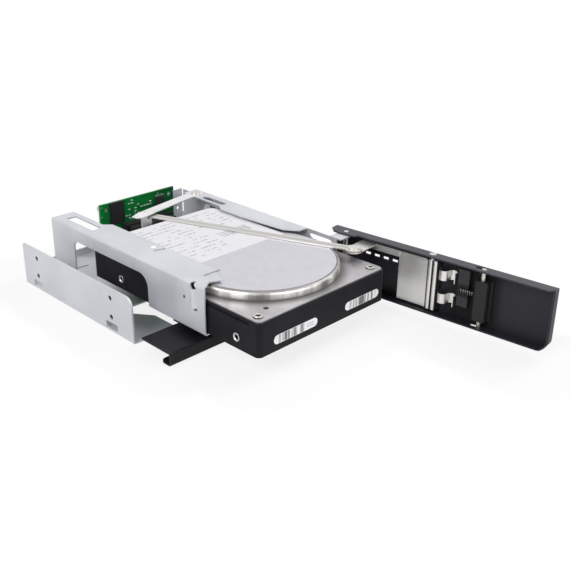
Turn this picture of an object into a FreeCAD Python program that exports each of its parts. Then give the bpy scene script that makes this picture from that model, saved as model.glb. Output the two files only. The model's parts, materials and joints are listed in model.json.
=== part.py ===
"""Trayless hot-swap rack for one 3.5-inch drive in a 5.25-inch bay, door open and drive part ejected.

Millimetres, +X to the right of the front, +Y to the back, +Z up. The origin lies on the underside
of the tray, midway between the front and rear mounting holes.
"""
import FreeCAD, Part
import math
import os

V = FreeCAD.Vector
UP = V(0, 0, 1)
BACK = V(0, 1, 0)
RIGHT = V(1, 0, 0)
ORIGIN = V(0, 0, 0)

# Bay standard
bay_width = 146.0
rail_hole_pitch = 79.25
rail_hole_low = 10.0
rail_hole_rise = 11.84
rail_hole_r = 1.5

# Clearances
flat_gap = 0.15
seat_gap = 0.2
pin_play = 0.05
cut_over = 2.0

# Tray with its two side rails
tray_sheet = 1.0
rail_height = 28.0
rail_front = -60.0
rail_rear = 56.0
rail_corner_r = 6.0
rail_rear_r = 2.0
rail_slot_length = 11.0
rail_slot_height = 4.0
rail_slot_low = 2.2
floor_rear = 70.0
rear_lip_height = 6.0
rear_lip_inset = 16.0
foot_width = 29.5
foot_length = 19.5
relief_flare = 14.5
relief_length = 20.0
bend_inner = 0.4

# Drive
drive_width = 101.6
drive_length = 147.0
drive_height = 25.4
drive_base_height = 19.3
drive_rear = 10.0
drive_corner_r = 3.0
drive_stroke = 40.0
side_hole_r = 1.75
side_hole_depth = 4.0
side_hole_height = 6.35
side_hole_front = 16.9
side_hole_pitches = (0.0, 60.0, 101.6)
cover_plate = 0.8
cover_inset = 0.8
disc_r = 46.5
disc_back = 52.0
dome_half_width = 40.0
dome_rear_inset = 7.0
dome_edge_r = 2.0
label_thickness = 0.1
label_half_width = 38.0
label_length = 68.0
label_corner_r = 6.0
cover_screw_r = 2.4
cover_screw_height = 0.9
cover_screw_front = 6.5
cover_screw_middle = 43.0
cover_screw_rear = 6.0
breather_r = 1.5
breather_x = -35.5
breather_front = 10.5
side_recess_depth = 0.8
side_recess_height = 1.8
side_recess_span = (7.0, 40.0)
sticker_height = 5.2
sticker_centre = 6.5
sticker_spans = ((-40.0, -7.0), (16.0, 45.5))
board_recess = 1.8
drive_board_inset_x = 6.0
drive_board_inset_y = 9.0
plug_left = 4.0
plug_right = 44.0
plug_depth = 6.0
plug_height = 10.0
plug_wall = 1.0

# Cage side walls
cage_sheet = 0.8
side_clear = 1.4
ledge_bottom = 12.4
ledge_width = 9.0
cage_front = -98.0
cage_rear = 52.5
window_front = -48.3
window_rear = 27.5
window_top = 32.0
window_front_r = 8.0
window_rear_r = 5.0
foot_flange = 10.0
foot_flange_inset = 3.0
left_flange_front = 21.0
left_flange_rear = 16.5
left_step = 15.0
left_step_length = 4.0
flange_hole_width = 6.5
flange_hole_length = 29.0
flange_hole_inset = 6.0
flange_hole_rear = 8.5
left_nose_length = 5.0
left_nose_width = 8.0
left_nose_end = 15.0
left_nose_taper = 16.0
right_flange_rear = 34.0
right_flange_rear_width = 12.5
right_flange_step = -4.0
right_flange_step_length = 5.0
right_flange_width = 16.5
right_flange_taper = -30.0
right_flange_waist = -64.0
right_flange_waist_width = 13.5
right_flange_end = -73.5
right_flange_end_width = 7.0
right_leg_top = 37.0
right_slot_width = 4.5
right_slot_length = 22.0
right_slot_gap = 9.0
right_slot_inset = 6.0
rear_tab_width = 7.0
rear_tab_hole_r = 1.2
rear_tab_hole_height = 23.0
tab_relief_width = 2.2
tab_relief_bottom = 20.0
hinge_window_front = -95.0
hinge_window_rear = -75.0
hinge_window_bottom = 17.0
hinge_window_top = 38.0
hinge_window_r = 3.0
rib_r = 2.6
rib_setback = 9.0
rib_bottom = 26.6
rib_top = 37.9
rib_proud = 1.6
notch_height = 1.6
pierced_hole_r = 1.0
pierced_hole_setback = 17.0
pierced_hole_height = 30.4

# Ejector lever and pull link
lever_sheet = 0.6
link_sheet = 0.7
lever_gap = 0.1
lever_pivot_x = 45.0
lever_pivot_y = 26.5
lever_rest_angle = 191.0
lever_length = 62.0
lever_width = 8.0
lever_tip_width = 4.0
lever_boss_r = 5.0
lever_turn = 45.0
pusher_from = 50.5
pusher_to = 60.0
pusher_stem = 54.5
pusher_depth = 6.6
pusher_bottom = 32.0
link_radius = 50.0
link_joint_angle = 189.0
link_width = 6.5
link_eye_r = 4.0
link_front_eye_r = 5.4
rivet_r = 1.5
rivet_head_r = 3.2
rivet_head = 0.5
rivet_tail_r = 2.0
link_pin_r = 1.1

# Door, laid out closed with the hinge axis at its own origin
hinge_x = 62.5
hinge_y = -97.0
hinge_pin_r = 1.5
hinge_pin_over = 0.4
hinge_ear_r = 4.5
door_open_angle = 95.0
door_sheet = 1.0
door_height = 36.5
door_free_end = 70.5
hinge_tail = 11.5
door_panel_offset = 6.5
lip_depth = 8.0
hinge_lip_depth = 10.5
hinge_lip_length = 18.5
door_corner_r = 5.5
door_bevel = 3.0
tail_bevel = 4.0
lip_hole_r = 1.4
lip_hole_at = 59.0
vent_length = 4.0
vent_height = 1.8
vent_pitch = 6.5
vent_first = 4.0
vent_row_z = 28.2
vent_count = 5
vent_column_pitch = 4.4
vent_column_count = 3

# Steel bracket inside the door
bracket_sheet = 0.6
bracket_drop = 0.4
crank_x = -16.0
crank_y = 15.12
crank_r = 5.2
crank_hole_r = 3.9
bracket_strip_end = 64.0
bracket_strip_depth = 4.5
strip_flange_bottom = 34.6
bracket_plate_from = 37.0
bracket_plate_to = 57.0
bracket_standoff = 3.0
bracket_foot_gap = 1.3
bead_r = 1.9
bead_stations = (58.6, 61.8)
bracket_rivet_r = 1.2
bracket_rivet_station = 60.2
bracket_rivet_low = 13.0
bracket_rivet_high = 31.0
lip_rivet_head_r = 2.1
lip_rivet_head = 0.3

# Spring fingers
finger_sheet = 0.5
finger_height = 6.0
finger_low = 14.0
finger_high = 28.5
finger_gap = 0.2
finger_wave_r = 2.7

# Door latch
latch_block_from = 76.4
latch_block_to = 83.4
latch_block_bottom = 15.0
latch_block_top = 38.0
latch_block_depth = 3.5
latch_pin_station = 91.5
latch_pin_depth = 3.5
latch_pin_r = 1.4
latch_travel = 3.5
latch_slot_play = 0.15
sleeve_length = 8.0
sleeve_low = 2.8
sleeve_high = 1.7
sleeve_bottom = 10.0
sleeve_top = 34.5
sleeve_r = 1.6
carriage_length = 9.5
carriage_thickness = 1.1
carriage_gap = 0.1
thumb_neck_length = 5.0
thumb_neck_bottom = 20.0
thumb_neck_top = 30.0
thumb_length = 14.0
thumb_margin = 2.0
thumb_thickness = 2.6
thumb_gap = 0.15
thumb_rib_pitch = 2.0
thumb_rib_r = 0.6
spring_height = 25.0
spring_r = 1.8
spring_wire_r = 0.32
spring_turns = 6
spring_sides = 12
spring_wire_sides = 6

# Front trim
trim_sheet = 1.0
trim_front = -93.5
trim_depth = 25.0
trim_height = 8.0
trim_return = 9.0
trim_return_r = 3.5
trim_half_width = 73.5
trim_right_end = 51.0
trim_web_x = 45.0
trim_web_front = 6.0
trim_web_length = 18.0
trim_rivet_r = 1.2
trim_rivet_head_r = 2.0

# Board behind the drive
board_left = -13.0
board_right = 50.0
board_bottom = 6.0
board_top = 37.5
board_front = 58.0
board_thickness = 1.6
board_hole_r = 1.6
board_hole_inset = 4.5
spacer_length = 4.0
spacer_r = 2.6
board_screw_r = 1.25
board_screw_head_r = 2.5
board_screw_head = 0.9
rear_plate_left = -10.5
rear_plate_right = 50.0
rear_plate_height = 35.0
rear_plate_foot = 9.0
socket_base_length = 6.0
socket_nose_length = 5.5
socket_clear = 1.5
socket_bottom = 14.6
socket_top = 19.6
tongue_spans = ((8.0, 18.0), (20.5, 40.5))
tongue_thickness = 1.1
tongue_height = 16.6
tongue_length = 5.0
port_depth = 8.0
port_wall = 1.0
port_bottom = 14.0
port_top = 21.0
data_port_span = (10.0, 25.0)
power_port_span = (29.0, 46.0)
port_slot_height = 2.4
tape_left = -5.6
tape_right = 6.2
tape_thickness = 0.8
chip_size = 8.0
chip_height = 1.1
passive_size = 2.0
passive_height = 0.8
passive_columns = 5
passive_pitch = 4.6

# Heights and places that follow from the sizes above
rail_x = bay_width / 2
floor_top = tray_sheet
ledge_top = ledge_bottom + cage_sheet
drive_bottom = ledge_top + seat_gap
drive_top = drive_bottom + drive_height
drive_base_top = drive_bottom + drive_base_height
drive_front = drive_rear - drive_length
drive_side = drive_width / 2
link_bottom = drive_top + flat_gap
link_top = link_bottom + link_sheet
flange_bottom = link_top + flat_gap
flange_top = flange_bottom + cage_sheet
lever_bottom = flange_top + lever_gap
lever_top = lever_bottom + lever_sheet
wall_inner = drive_side + side_clear
wall_outer = wall_inner + cage_sheet
door_top = flange_top + lever_gap + door_sheet
door_bottom = door_top - door_height
bracket_plate_bottom = door_bottom + door_sheet + bracket_foot_gap
panel_in = -door_panel_offset
panel_out = panel_in - door_sheet
door_reach = door_free_end + hinge_x
bracket_top = link_bottom - bracket_drop
bracket_low = bracket_top - bracket_sheet
HINGE = V(hinge_x, hinge_y, 0)
LEVER_PIVOT = V(lever_pivot_x, lever_pivot_y, 0)


def polar(radius, degrees):
    """Point at a radius and angle about the vertical axis."""
    return V(radius * math.cos(math.radians(degrees)), radius * math.sin(math.radians(degrees)), 0)


def turned(shape, degrees, place):
    """Shape turned about the vertical axis through its own origin, then moved to its place."""
    out = shape.copy()
    out.rotate(ORIGIN, UP, degrees)
    out.translate(place)
    return out


LINK_JOINT = LEVER_PIVOT + polar(link_radius, link_joint_angle)
CRANK = HINGE + polar(math.hypot(crank_x, crank_y), math.degrees(math.atan2(crank_y, crank_x)) + door_open_angle)
LINK_LINE = CRANK - LINK_JOINT
link_angle = math.degrees(math.atan2(LINK_LINE.y, LINK_LINE.x))


def box(x0, x1, y0, y1, z0, z1):
    """Block between two corners, given in any order along each axis."""
    x0, x1 = sorted((x0, x1))
    y0, y1 = sorted((y0, y1))
    z0, z1 = sorted((z0, z1))
    return Part.makeBox(x1 - x0, y1 - y0, z1 - z0, V(x0, y0, z0))


def rod(radius, x, y, z0, z1):
    """Upright round bar."""
    return Part.makeCylinder(radius, z1 - z0, V(x, y, z0), UP)


def rod_along(axis, radius, start, length):
    """Round bar from a point along an axis."""
    return Part.makeCylinder(radius, length, start, axis)


def slab(points, z0, z1):
    """Flat outline in X and Y, raised from one height to another."""
    corners = [V(x, y, z0) for x, y in points]
    face = Part.Face(Part.makePolygon(corners + corners[:1]))
    return face.extrude(V(0, 0, z1 - z0))


def side_slab(points, x0, x1):
    """Flat outline in Y and Z, carried from one X to another."""
    corners = [V(x0, y, z) for y, z in points]
    face = Part.Face(Part.makePolygon(corners + corners[:1]))
    return face.extrude(V(x1 - x0, 0, 0))


def section_along_y(points, y0, y1):
    """Flat outline in X and Z, carried from one Y to another."""
    corners = [V(x, y0, z) for x, z in points]
    face = Part.Face(Part.makePolygon(corners + corners[:1]))
    return face.extrude(V(0, y1 - y0, 0))


def round_edges(shape, radius, axis, spots):
    """Rounds the straight edges along an axis that pass within reach of the given points."""
    reach = 0.05
    chosen = []
    for edge in shape.Edges:
        if not isinstance(edge.Curve, Part.Line):
            continue
        along = edge.tangentAt(edge.FirstParameter)
        if along.cross(axis).Length > reach:
            continue
        for spot in spots:
            offset = edge.CenterOfMass - spot
            if (offset - axis * offset.dot(axis)).Length < reach:
                chosen.append(edge)
                break
    return shape.makeFillet(radius, chosen)


def joined(first, *others):
    """One solid from pieces that touch or overlap."""
    return first.fuse(list(others)).removeSplitter()


def mirrored_x(shape):
    """The same piece on the other side of the middle plane."""
    return shape.mirror(ORIGIN, RIGHT)


def slot_cut(x, y, width, length, z0, z1):
    """Upright cutter for a slot along Y with round ends."""
    half = (length - width) / 2
    return joined(
        box(x - width / 2, x + width / 2, y - half, y + half, z0, z1),
        rod(width / 2, x, y - half, z0, z1),
        rod(width / 2, x, y + half, z0, z1),
    )


def base_tray():
    """Floor and both rails, folded from one sheet, with the relief between the front feet."""
    inner = rail_x - tray_sheet
    section = (
        (-rail_x, 0), (rail_x, 0), (rail_x, rail_height), (inner, rail_height),
        (inner, floor_top), (-inner, floor_top), (-inner, rail_height), (-rail_x, rail_height),
    )
    tray = section_along_y(section, rail_front, floor_rear)
    tray = round_edges(tray, tray_sheet + bend_inner, BACK, (V(-rail_x, 0, 0), V(rail_x, 0, 0)))
    tray = round_edges(tray, bend_inner, BACK, (V(-inner, 0, floor_top), V(inner, 0, floor_top)))
    past = rail_x + cut_over
    tray = tray.cut(box(-past, past, rail_rear, floor_rear + cut_over, floor_top + bend_inner, rail_height + cut_over))
    rail_tops = [V(0, rail_front, rail_height)]
    tray = round_edges(tray, rail_corner_r, RIGHT, rail_tops)
    tray = round_edges(tray, rail_rear_r, RIGHT, [V(0, rail_rear, rail_height)])
    foot_x = rail_x - foot_width
    foot_y = rail_front + foot_length
    relief_y = foot_y + relief_length
    relief_x = foot_x + relief_flare
    relief = (
        (-foot_x, rail_front - cut_over), (foot_x, rail_front - cut_over), (foot_x, foot_y),
        (relief_x, relief_y), (-relief_x, relief_y), (-foot_x, foot_y),
    )
    tray = tray.cut(slab(relief, -cut_over, floor_top + cut_over))
    for side in (-1, 1):
        corner = ((side * past, rail_rear), (side * rail_x, rail_rear), (side * (rail_x - rear_lip_inset), floor_rear), (side * past, floor_rear))
        tray = tray.cut(slab(corner, -cut_over, floor_top + cut_over))
    lip = box(-rail_x + rear_lip_inset, rail_x - rear_lip_inset, floor_rear - tray_sheet, floor_rear, 0, rear_lip_height)
    tray = joined(tray, lip)
    for y in (-rail_hole_pitch / 2, rail_hole_pitch / 2):
        for z in (rail_hole_low, rail_hole_low + rail_hole_rise):
            tray = tray.cut(rod_along(RIGHT, rail_hole_r, V(-past, y, z), 2 * past))
        half = rail_slot_length / 2
        tray = tray.cut(box(-past, past, y - half, y + half, rail_slot_low, rail_slot_low + rail_slot_height))
    for x, y in chassis_rivet_spots():
        tray = tray.cut(rod(rivet_r, x, y, -cut_over, floor_top + cut_over))
    return tray


def chassis_rivet_spots():
    """Places of the rivets that hold the wall feet and the rear plate to the floor."""
    foot_mid = wall_inner - foot_flange / 2
    foot_rows = (window_rear + 2 * foot_flange_inset, cage_rear - 2 * foot_flange_inset)
    spots = [(side * foot_mid, y) for side in (-1, 1) for y in foot_rows]
    plate_front = board_front + board_thickness + spacer_length
    plate_y = plate_front - rear_plate_foot / 2
    return spots + [(rear_plate_left + foot_flange, plate_y), (rear_plate_right - foot_flange, plate_y)]


def chassis_rivets():
    """Flat-headed rivets of the floor, one group."""
    head_base = floor_top + cage_sheet
    solids = []
    for x, y in chassis_rivet_spots():
        solids.append(joined(rod(rivet_r, x, y, 0, head_base), rod(rivet_head_r, x, y, head_base, head_base + rivet_head)))
    return Part.makeCompound(solids)


def left_wall_blank(flange):
    """Left wall: ledge, upright and top flange of one sheet, with the arched window and the rear leg's foot.

    The flange is given as the part of its outline inside the bend.
    """
    section = (
        (-wall_outer, ledge_bottom), (ledge_width - wall_outer, ledge_bottom),
        (ledge_width - wall_outer, ledge_top), (-wall_inner, ledge_top), (-wall_inner, flange_top), (-wall_outer, flange_top),
    )
    wall = section_along_y(section, cage_front, cage_rear)
    wall = joined(wall, slab(flange, flange_bottom, flange_top))
    bend = cage_sheet + bend_inner
    wall = round_edges(wall, bend, BACK, (V(-wall_outer, 0, ledge_bottom), V(-wall_outer, 0, flange_top)))
    leg = box(-wall_outer, -wall_inner, window_rear, cage_rear, floor_top, ledge_bottom + bend)
    foot = box(
        -wall_outer, foot_flange - wall_inner, window_rear + foot_flange_inset, cage_rear - foot_flange_inset,
        floor_top, floor_top + cage_sheet,
    )
    wall = joined(wall, leg, foot)
    cutter = box(-wall_outer - cut_over, ledge_width - wall_inner, window_front, window_rear, 0, window_top)
    cutter = round_edges(cutter, window_front_r, RIGHT, [V(0, window_front, window_top)])
    cutter = round_edges(cutter, window_rear_r, RIGHT, [V(0, window_rear, window_top)])
    wall = wall.cut(cutter)
    for x, y in chassis_rivet_spots():
        wall = wall.cut(rod(rivet_r, x, y, 0, floor_top + cut_over))
        wall = wall.cut(rod(rivet_r, -x, y, 0, floor_top + cut_over))
    web_y = trim_front + trim_web_front + trim_web_length / 2
    rivet_x = trim_web_x + ledge_width / 3
    return wall.cut(rod(trim_rivet_r, -rivet_x, web_y, ledge_bottom - cut_over, ledge_top + cut_over))


def left_side_wall():
    """Left wall with its wide flange, the window in the flange, and the pressed rib near the front."""
    edge_front = left_flange_front - wall_outer
    edge_rear = left_flange_rear - wall_outer
    flange = (
        (-wall_outer, cage_front), (left_nose_width - wall_outer, cage_front + left_nose_length),
        (left_nose_end - wall_outer, cage_front + left_nose_length / 2),
        (edge_front, cage_front + left_nose_taper), (edge_front, left_step),
        (edge_rear, left_step + left_step_length), (edge_rear, cage_rear), (-wall_outer, cage_rear),
    )
    wall = left_wall_blank(flange)
    hole_x = flange_hole_inset - wall_outer
    hole_y = cage_rear - flange_hole_rear
    wall = wall.cut(box(
        hole_x, hole_x + flange_hole_width, hole_y - flange_hole_length, hole_y,
        flange_bottom - cut_over, flange_top + cut_over,
    ))
    rib_y = cage_front + rib_setback
    rib_axis = -wall_outer - rib_proud + rib_r
    rib = rod(rib_r, rib_axis, rib_y, rib_bottom, rib_top).cut(rod(rib_r - cage_sheet, rib_axis, rib_y, rib_bottom, rib_top))
    rib = rib.common(box(-wall_outer - rib_r, -wall_inner, rib_y - rib_r, rib_y + rib_r, rib_bottom, rib_top))
    hollow = rod(rib_r - cage_sheet, rib_axis, rib_y, rib_bottom, rib_top)
    wall = joined(wall, rib).cut(hollow)
    pierced = (
        (rib_y + rib_r, rib_top), (rib_y + rib_r, flange_top + cut_over), (rib_y, flange_top), (rib_y - rib_r, rib_top),
    )
    wall = wall.cut(side_slab(pierced, -wall_outer - cut_over, -wall_inner + cut_over))
    wall = wall.cut(box(
        -wall_outer - cut_over, -wall_inner + cage_sheet, rib_y - rib_r, rib_y, rib_bottom - notch_height, rib_bottom,
    ))
    hole = V(-wall_outer - cut_over, cage_front + pierced_hole_setback, pierced_hole_height)
    return wall.cut(rod_along(RIGHT, pierced_hole_r, hole, 2 * cut_over))


def right_side_wall():
    """Right wall: mirrored blank with a stepped flange, hinge ears and window, the lever's pivot and a rear tab."""
    flange = (
        (-wall_outer, right_flange_end), (right_flange_end_width - wall_outer, right_flange_end),
        (right_flange_waist_width - wall_outer, right_flange_waist),
        (right_flange_width - wall_outer, right_flange_taper),
        (right_flange_width - wall_outer, right_flange_step - right_flange_step_length),
        (right_flange_rear_width - wall_outer, right_flange_step),
        (right_flange_rear_width - wall_outer, right_flange_rear), (-wall_outer, right_flange_rear),
    )
    wall = mirrored_x(left_wall_blank(flange))
    side_in, side_out = wall_inner - cut_over, wall_outer + cut_over
    wall = wall.cut(box(side_in, side_out, right_flange_rear, cage_rear + cut_over, right_leg_top, flange_top + cut_over))
    window = box(side_in, side_out, hinge_window_front, hinge_window_rear, hinge_window_bottom, hinge_window_top)
    corners = [V(0, y, z) for y in (hinge_window_front, hinge_window_rear) for z in (hinge_window_bottom, hinge_window_top)]
    wall = wall.cut(round_edges(window, hinge_window_r, RIGHT, corners))
    for low in (ledge_bottom, flange_bottom):
        neck = box(wall_inner, hinge_x, hinge_y - hinge_ear_r, hinge_y + hinge_ear_r, low, low + cage_sheet)
        wall = joined(wall, neck, rod(hinge_ear_r, hinge_x, hinge_y, low, low + cage_sheet))
    wall = wall.cut(rod(hinge_pin_r, hinge_x, hinge_y, ledge_bottom - cut_over, flange_top + cut_over))
    tab_front = cage_rear - cage_sheet
    tab = box(wall_inner - rear_tab_width, wall_outer, tab_front, cage_rear, ledge_top, right_leg_top)
    wall = joined(wall, tab)
    wall = wall.cut(box(side_in, side_out, tab_front - tab_relief_width, tab_front, tab_relief_bottom, right_leg_top + cut_over))
    tab_hole = V(wall_inner - rear_tab_width / 2, cage_rear - cut_over, rear_tab_hole_height)
    wall = wall.cut(rod_along(BACK, rear_tab_hole_r, tab_hole, 2 * cut_over))
    slot_y = lever_pivot_y - right_slot_gap - right_slot_length / 2
    slot_x = wall_outer - right_slot_inset - right_slot_width / 2
    wall = wall.cut(slot_cut(slot_x, slot_y, right_slot_width, right_slot_length, flange_bottom - cut_over, flange_top + cut_over))
    return wall.cut(rod(rivet_r, lever_pivot_x, lever_pivot_y, flange_bottom - cut_over, flange_top + cut_over))


def front_trim():
    """Folded black strip under the drive: top plate, front lip, bottom return and webs up to the ledges."""
    back = trim_front + trim_depth
    section = (
        (back, trim_height), (trim_front, trim_height), (trim_front, 0), (trim_front + trim_return, 0),
        (trim_front + trim_return, trim_sheet), (trim_front + trim_sheet, trim_sheet),
        (trim_front + trim_sheet, trim_height - trim_sheet), (back, trim_height - trim_sheet),
    )
    trim = side_slab(section, -trim_half_width, trim_right_end)
    corners = (V(0, trim_front, 0), V(0, trim_front, trim_height))
    trim = round_edges(trim, trim_sheet + bend_inner, RIGHT, corners)
    return_end = trim_front + trim_return
    trim = round_edges(trim, trim_return_r, UP, [V(x, return_end, 0) for x in (-trim_half_width, trim_right_end)])
    web_front = trim_front + trim_web_front
    web_back = web_front + trim_web_length
    for side in (-1, 1):
        web = box(side * trim_web_x, side * (trim_web_x - trim_sheet), web_front, web_back, trim_height - trim_sheet, ledge_bottom)
        shelf = box(
            side * (trim_web_x - trim_sheet), side * (wall_outer - cage_sheet), web_front, web_back,
            ledge_bottom - trim_sheet, ledge_bottom,
        )
        rivet_x = side * (trim_web_x + ledge_width / 3)
        bore = rod(trim_rivet_r, rivet_x, (web_front + web_back) / 2, trim_height, ledge_bottom + cut_over)
        trim = joined(trim, web, shelf).cut(bore)
    return trim


def trim_rivets():
    """Rivets that hold the trim's shelves under the ledges."""
    y = trim_front + trim_web_front + trim_web_length / 2
    low = ledge_bottom - trim_sheet
    solids = []
    for side in (-1, 1):
        x = side * (trim_web_x + ledge_width / 3)
        solids.append(joined(rod(trim_rivet_head_r, x, y, low - rivet_head, low), rod(trim_rivet_r, x, y, low, ledge_top)))
    return Part.makeCompound(solids)


def hinge_pin():
    """Straight pin through both hinge ears and both door lips."""
    return rod(hinge_pin_r, hinge_x, hinge_y, door_bottom - hinge_pin_over, door_top + hinge_pin_over)


def lever_rivet():
    """Headed rivet that the lever turns on, fixed in the right flange."""
    x, y = lever_pivot_x, lever_pivot_y
    head_base = lever_top + lever_gap
    return joined(rod(rivet_r, x, y, flange_bottom, head_base), rod(rivet_head_r, x, y, head_base, head_base + rivet_head))


def board_hole_spots():
    """Places of the board's four fixing holes, as X and Z."""
    xs = (board_left + board_hole_inset, board_right - board_hole_inset)
    zs = (board_bottom + board_hole_inset, board_top - board_hole_inset)
    return [(x, z) for x in xs for z in zs]


def backplane_board():
    """Upright circuit board behind the drive."""
    board = box(board_left, board_right, board_front, board_front + board_thickness, board_bottom, board_top)
    for x, z in board_hole_spots():
        board = board.cut(rod_along(BACK, board_screw_r, V(x, board_front - cut_over, z), board_thickness + 2 * cut_over))
    return board


def board_spacers():
    """Round spacers between the board and the rear plate."""
    y = board_front + board_thickness
    solids = []
    for x, z in board_hole_spots():
        solids.append(rod_along(BACK, spacer_r, V(x, y, z), spacer_length).cut(rod_along(BACK, board_screw_r, V(x, y, z), spacer_length)))
    return Part.makeCompound(solids)


def board_screws():
    """Screws from behind through the rear plate and the spacers, with their ends flush with the board's face."""
    shank = board_thickness + spacer_length + cage_sheet
    solids = []
    for x, z in board_hole_spots():
        head = rod_along(BACK, board_screw_head_r, V(x, board_front + shank, z), board_screw_head)
        solids.append(joined(head, rod_along(BACK, board_screw_r, V(x, board_front, z), shank)))
    return Part.makeCompound(solids)


def rear_plate():
    """Upright plate that carries the board, with its foot on the tray and openings for the two ports."""
    y = board_front + board_thickness + spacer_length
    plate = box(rear_plate_left, rear_plate_right, y, y + cage_sheet, floor_top, rear_plate_height)
    foot = box(rear_plate_left, rear_plate_right, y - rear_plate_foot, y, floor_top, floor_top + cage_sheet)
    plate = joined(plate, foot)
    for left, right in (data_port_span, power_port_span):
        plate = plate.cut(box(
            left - socket_clear, right + socket_clear, y - cut_over, y + cut_over, port_bottom - socket_clear, port_top + socket_clear,
        ))
    for x, z in board_hole_spots():
        plate = plate.cut(rod_along(BACK, board_screw_r, V(x, y - cut_over, z), 2 * cut_over))
    for x, spot_y in chassis_rivet_spots():
        plate = plate.cut(rod(rivet_r, x, spot_y, floor_top - cut_over, floor_top + cut_over))
    return plate


def drive_socket():
    """Socket on the board's face whose nose enters the drive's rear recess when the drive is home."""
    middle = board_front - socket_base_length
    base = box(plug_left, plug_right, middle, board_front, socket_bottom - plug_wall, socket_top + plug_wall)
    nose = box(
        plug_left + socket_clear, plug_right - socket_clear, middle - socket_nose_length, middle, socket_bottom, socket_top,
    )
    socket = joined(base, nose)
    tip = middle - socket_nose_length
    for left, right in tongue_spans:
        low = tongue_height - seat_gap
        socket = socket.cut(box(
            left - seat_gap, right + seat_gap, tip - cut_over, tip + tongue_length + seat_gap,
            low, low + tongue_thickness + 2 * seat_gap,
        ))
    return socket


def port(span):
    """Open-fronted port on the board's back face with a contact tongue inside."""
    left, right = span
    y = board_front + board_thickness
    shell = box(left, right, y, y + port_depth, port_bottom, port_top)
    shell = shell.cut(box(
        left + port_wall, right - port_wall, y + port_wall, y + port_depth + cut_over, port_bottom + port_wall, port_top - port_wall,
    ))
    middle = (port_bottom + port_top) / 2
    tongue = box(
        left + 2 * port_wall, right - 2 * port_wall, y + port_wall, y + port_depth - port_wall,
        middle - tongue_thickness / 2, middle + tongue_thickness / 2,
    )
    return joined(shell, tongue)


def board_tape():
    """Black insulating strip over the board's face."""
    low = socket_top + 2 * plug_wall
    return box(tape_left, tape_right, board_front - tape_thickness, board_front, low, board_top)


def board_parts():
    """Controller chip near the board's right end and two rows of small parts beside it."""
    chip_left = board_right - 2 * board_hole_inset - chip_size
    chip_top = board_top - 2 * passive_size
    solids = [box(chip_left, chip_left + chip_size, board_front - chip_height, board_front, chip_top - chip_size, chip_top)]
    first = chip_left - passive_columns * passive_pitch
    for column in range(passive_columns):
        x = first + column * passive_pitch
        for row in range(2):
            z = chip_top - passive_size - row * passive_pitch
            solids.append(box(x, x + passive_size, board_front - passive_height, board_front, z, z + passive_size / 2))
    return Part.makeCompound(solids)


def drive_base():
    """Drive casting with its side holes and grooves, board recess and the notch for the rear plug."""
    base = box(-drive_side, drive_side, drive_front, drive_rear, drive_bottom, drive_base_top)
    corners = [V(x, y, 0) for x in (-drive_side, drive_side) for y in (drive_front, drive_rear)]
    base = round_edges(base, drive_corner_r, UP, corners)
    for pitch in side_hole_pitches:
        y = drive_front + side_hole_front + pitch
        for side in (-1, 1):
            start = V(side * drive_side, y, drive_bottom + side_hole_height)
            base = base.cut(rod_along(RIGHT * -side, side_hole_r, start, side_hole_depth))
    recess_from, recess_to = (drive_front + reach for reach in side_recess_span)
    for side in (-1, 1):
        base = base.cut(box(
            side * (drive_side - side_recess_depth), side * (drive_side + cut_over), recess_from, recess_to,
            drive_base_top - cover_plate - side_recess_height, drive_base_top - cover_plate,
        ))
    base = base.cut(box(
        drive_board_inset_x - drive_side, drive_side - drive_board_inset_x,
        drive_front + drive_board_inset_y, drive_rear - drive_board_inset_y, drive_bottom, drive_bottom + board_recess,
    ))
    return base.cut(box(plug_left, plug_right, drive_rear - plug_depth, drive_rear, drive_bottom, drive_bottom + plug_height))


def drive_board():
    """Circuit board in the recess under the drive."""
    low = drive_bottom + seat_gap
    return box(
        drive_board_inset_x - drive_side + seat_gap, drive_side - drive_board_inset_x - seat_gap,
        drive_front + drive_board_inset_y + seat_gap, drive_rear - drive_board_inset_y - seat_gap, low, drive_bottom + board_recess,
    )


def drive_plug():
    """Plug in the drive's rear notch: a back wall with the data and power tongues."""
    inner = drive_rear - plug_depth
    plug = box(plug_left, plug_right, inner, inner + plug_wall, drive_bottom, drive_bottom + plug_height)
    for left, right in tongue_spans:
        tongue = box(left, right, inner, inner + tongue_length, tongue_height, tongue_height + tongue_thickness)
        plug = joined(plug, tongue)
    return plug


def drive_cover():
    """Drive lid: thin plate with a breather hole and the raised round of the platters running back into a straight dome."""
    half = drive_side - cover_inset
    front, rear = drive_front + cover_inset, drive_rear - cover_inset
    plate = box(-half, half, front, rear, drive_base_top, drive_base_top + cover_plate)
    plate = round_edges(plate, drive_corner_r, UP, [V(x, y, 0) for x in (-half, half) for y in (front, rear)])
    dome_top = drive_top - label_thickness
    centre = drive_front + disc_back
    dome_rear = drive_rear - dome_rear_inset
    straight = box(-dome_half_width, dome_half_width, centre, dome_rear, drive_base_top, dome_top)
    straight = round_edges(straight, label_corner_r, UP, [V(x, dome_rear, 0) for x in (-dome_half_width, dome_half_width)])
    dome = joined(rod(disc_r, 0, centre, drive_base_top, dome_top), straight)
    rim = [edge for edge in dome.Edges if abs(edge.BoundBox.ZMin - dome_top) < flat_gap]
    breather = rod(breather_r, breather_x, drive_front + breather_front, drive_base_top, drive_top)
    return joined(plate, dome.makeFillet(dome_edge_r, rim)).cut(breather)


def drive_label():
    """Paper label on the flat of the dome."""
    rear = drive_rear - dome_rear_inset - dome_edge_r
    low = drive_top - label_thickness
    front = rear - label_length
    label = box(-label_half_width, label_half_width, front, rear, low, drive_top)
    return round_edges(label, label_corner_r, UP, [V(x, rear, 0) for x in (-label_half_width, label_half_width)])


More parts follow.
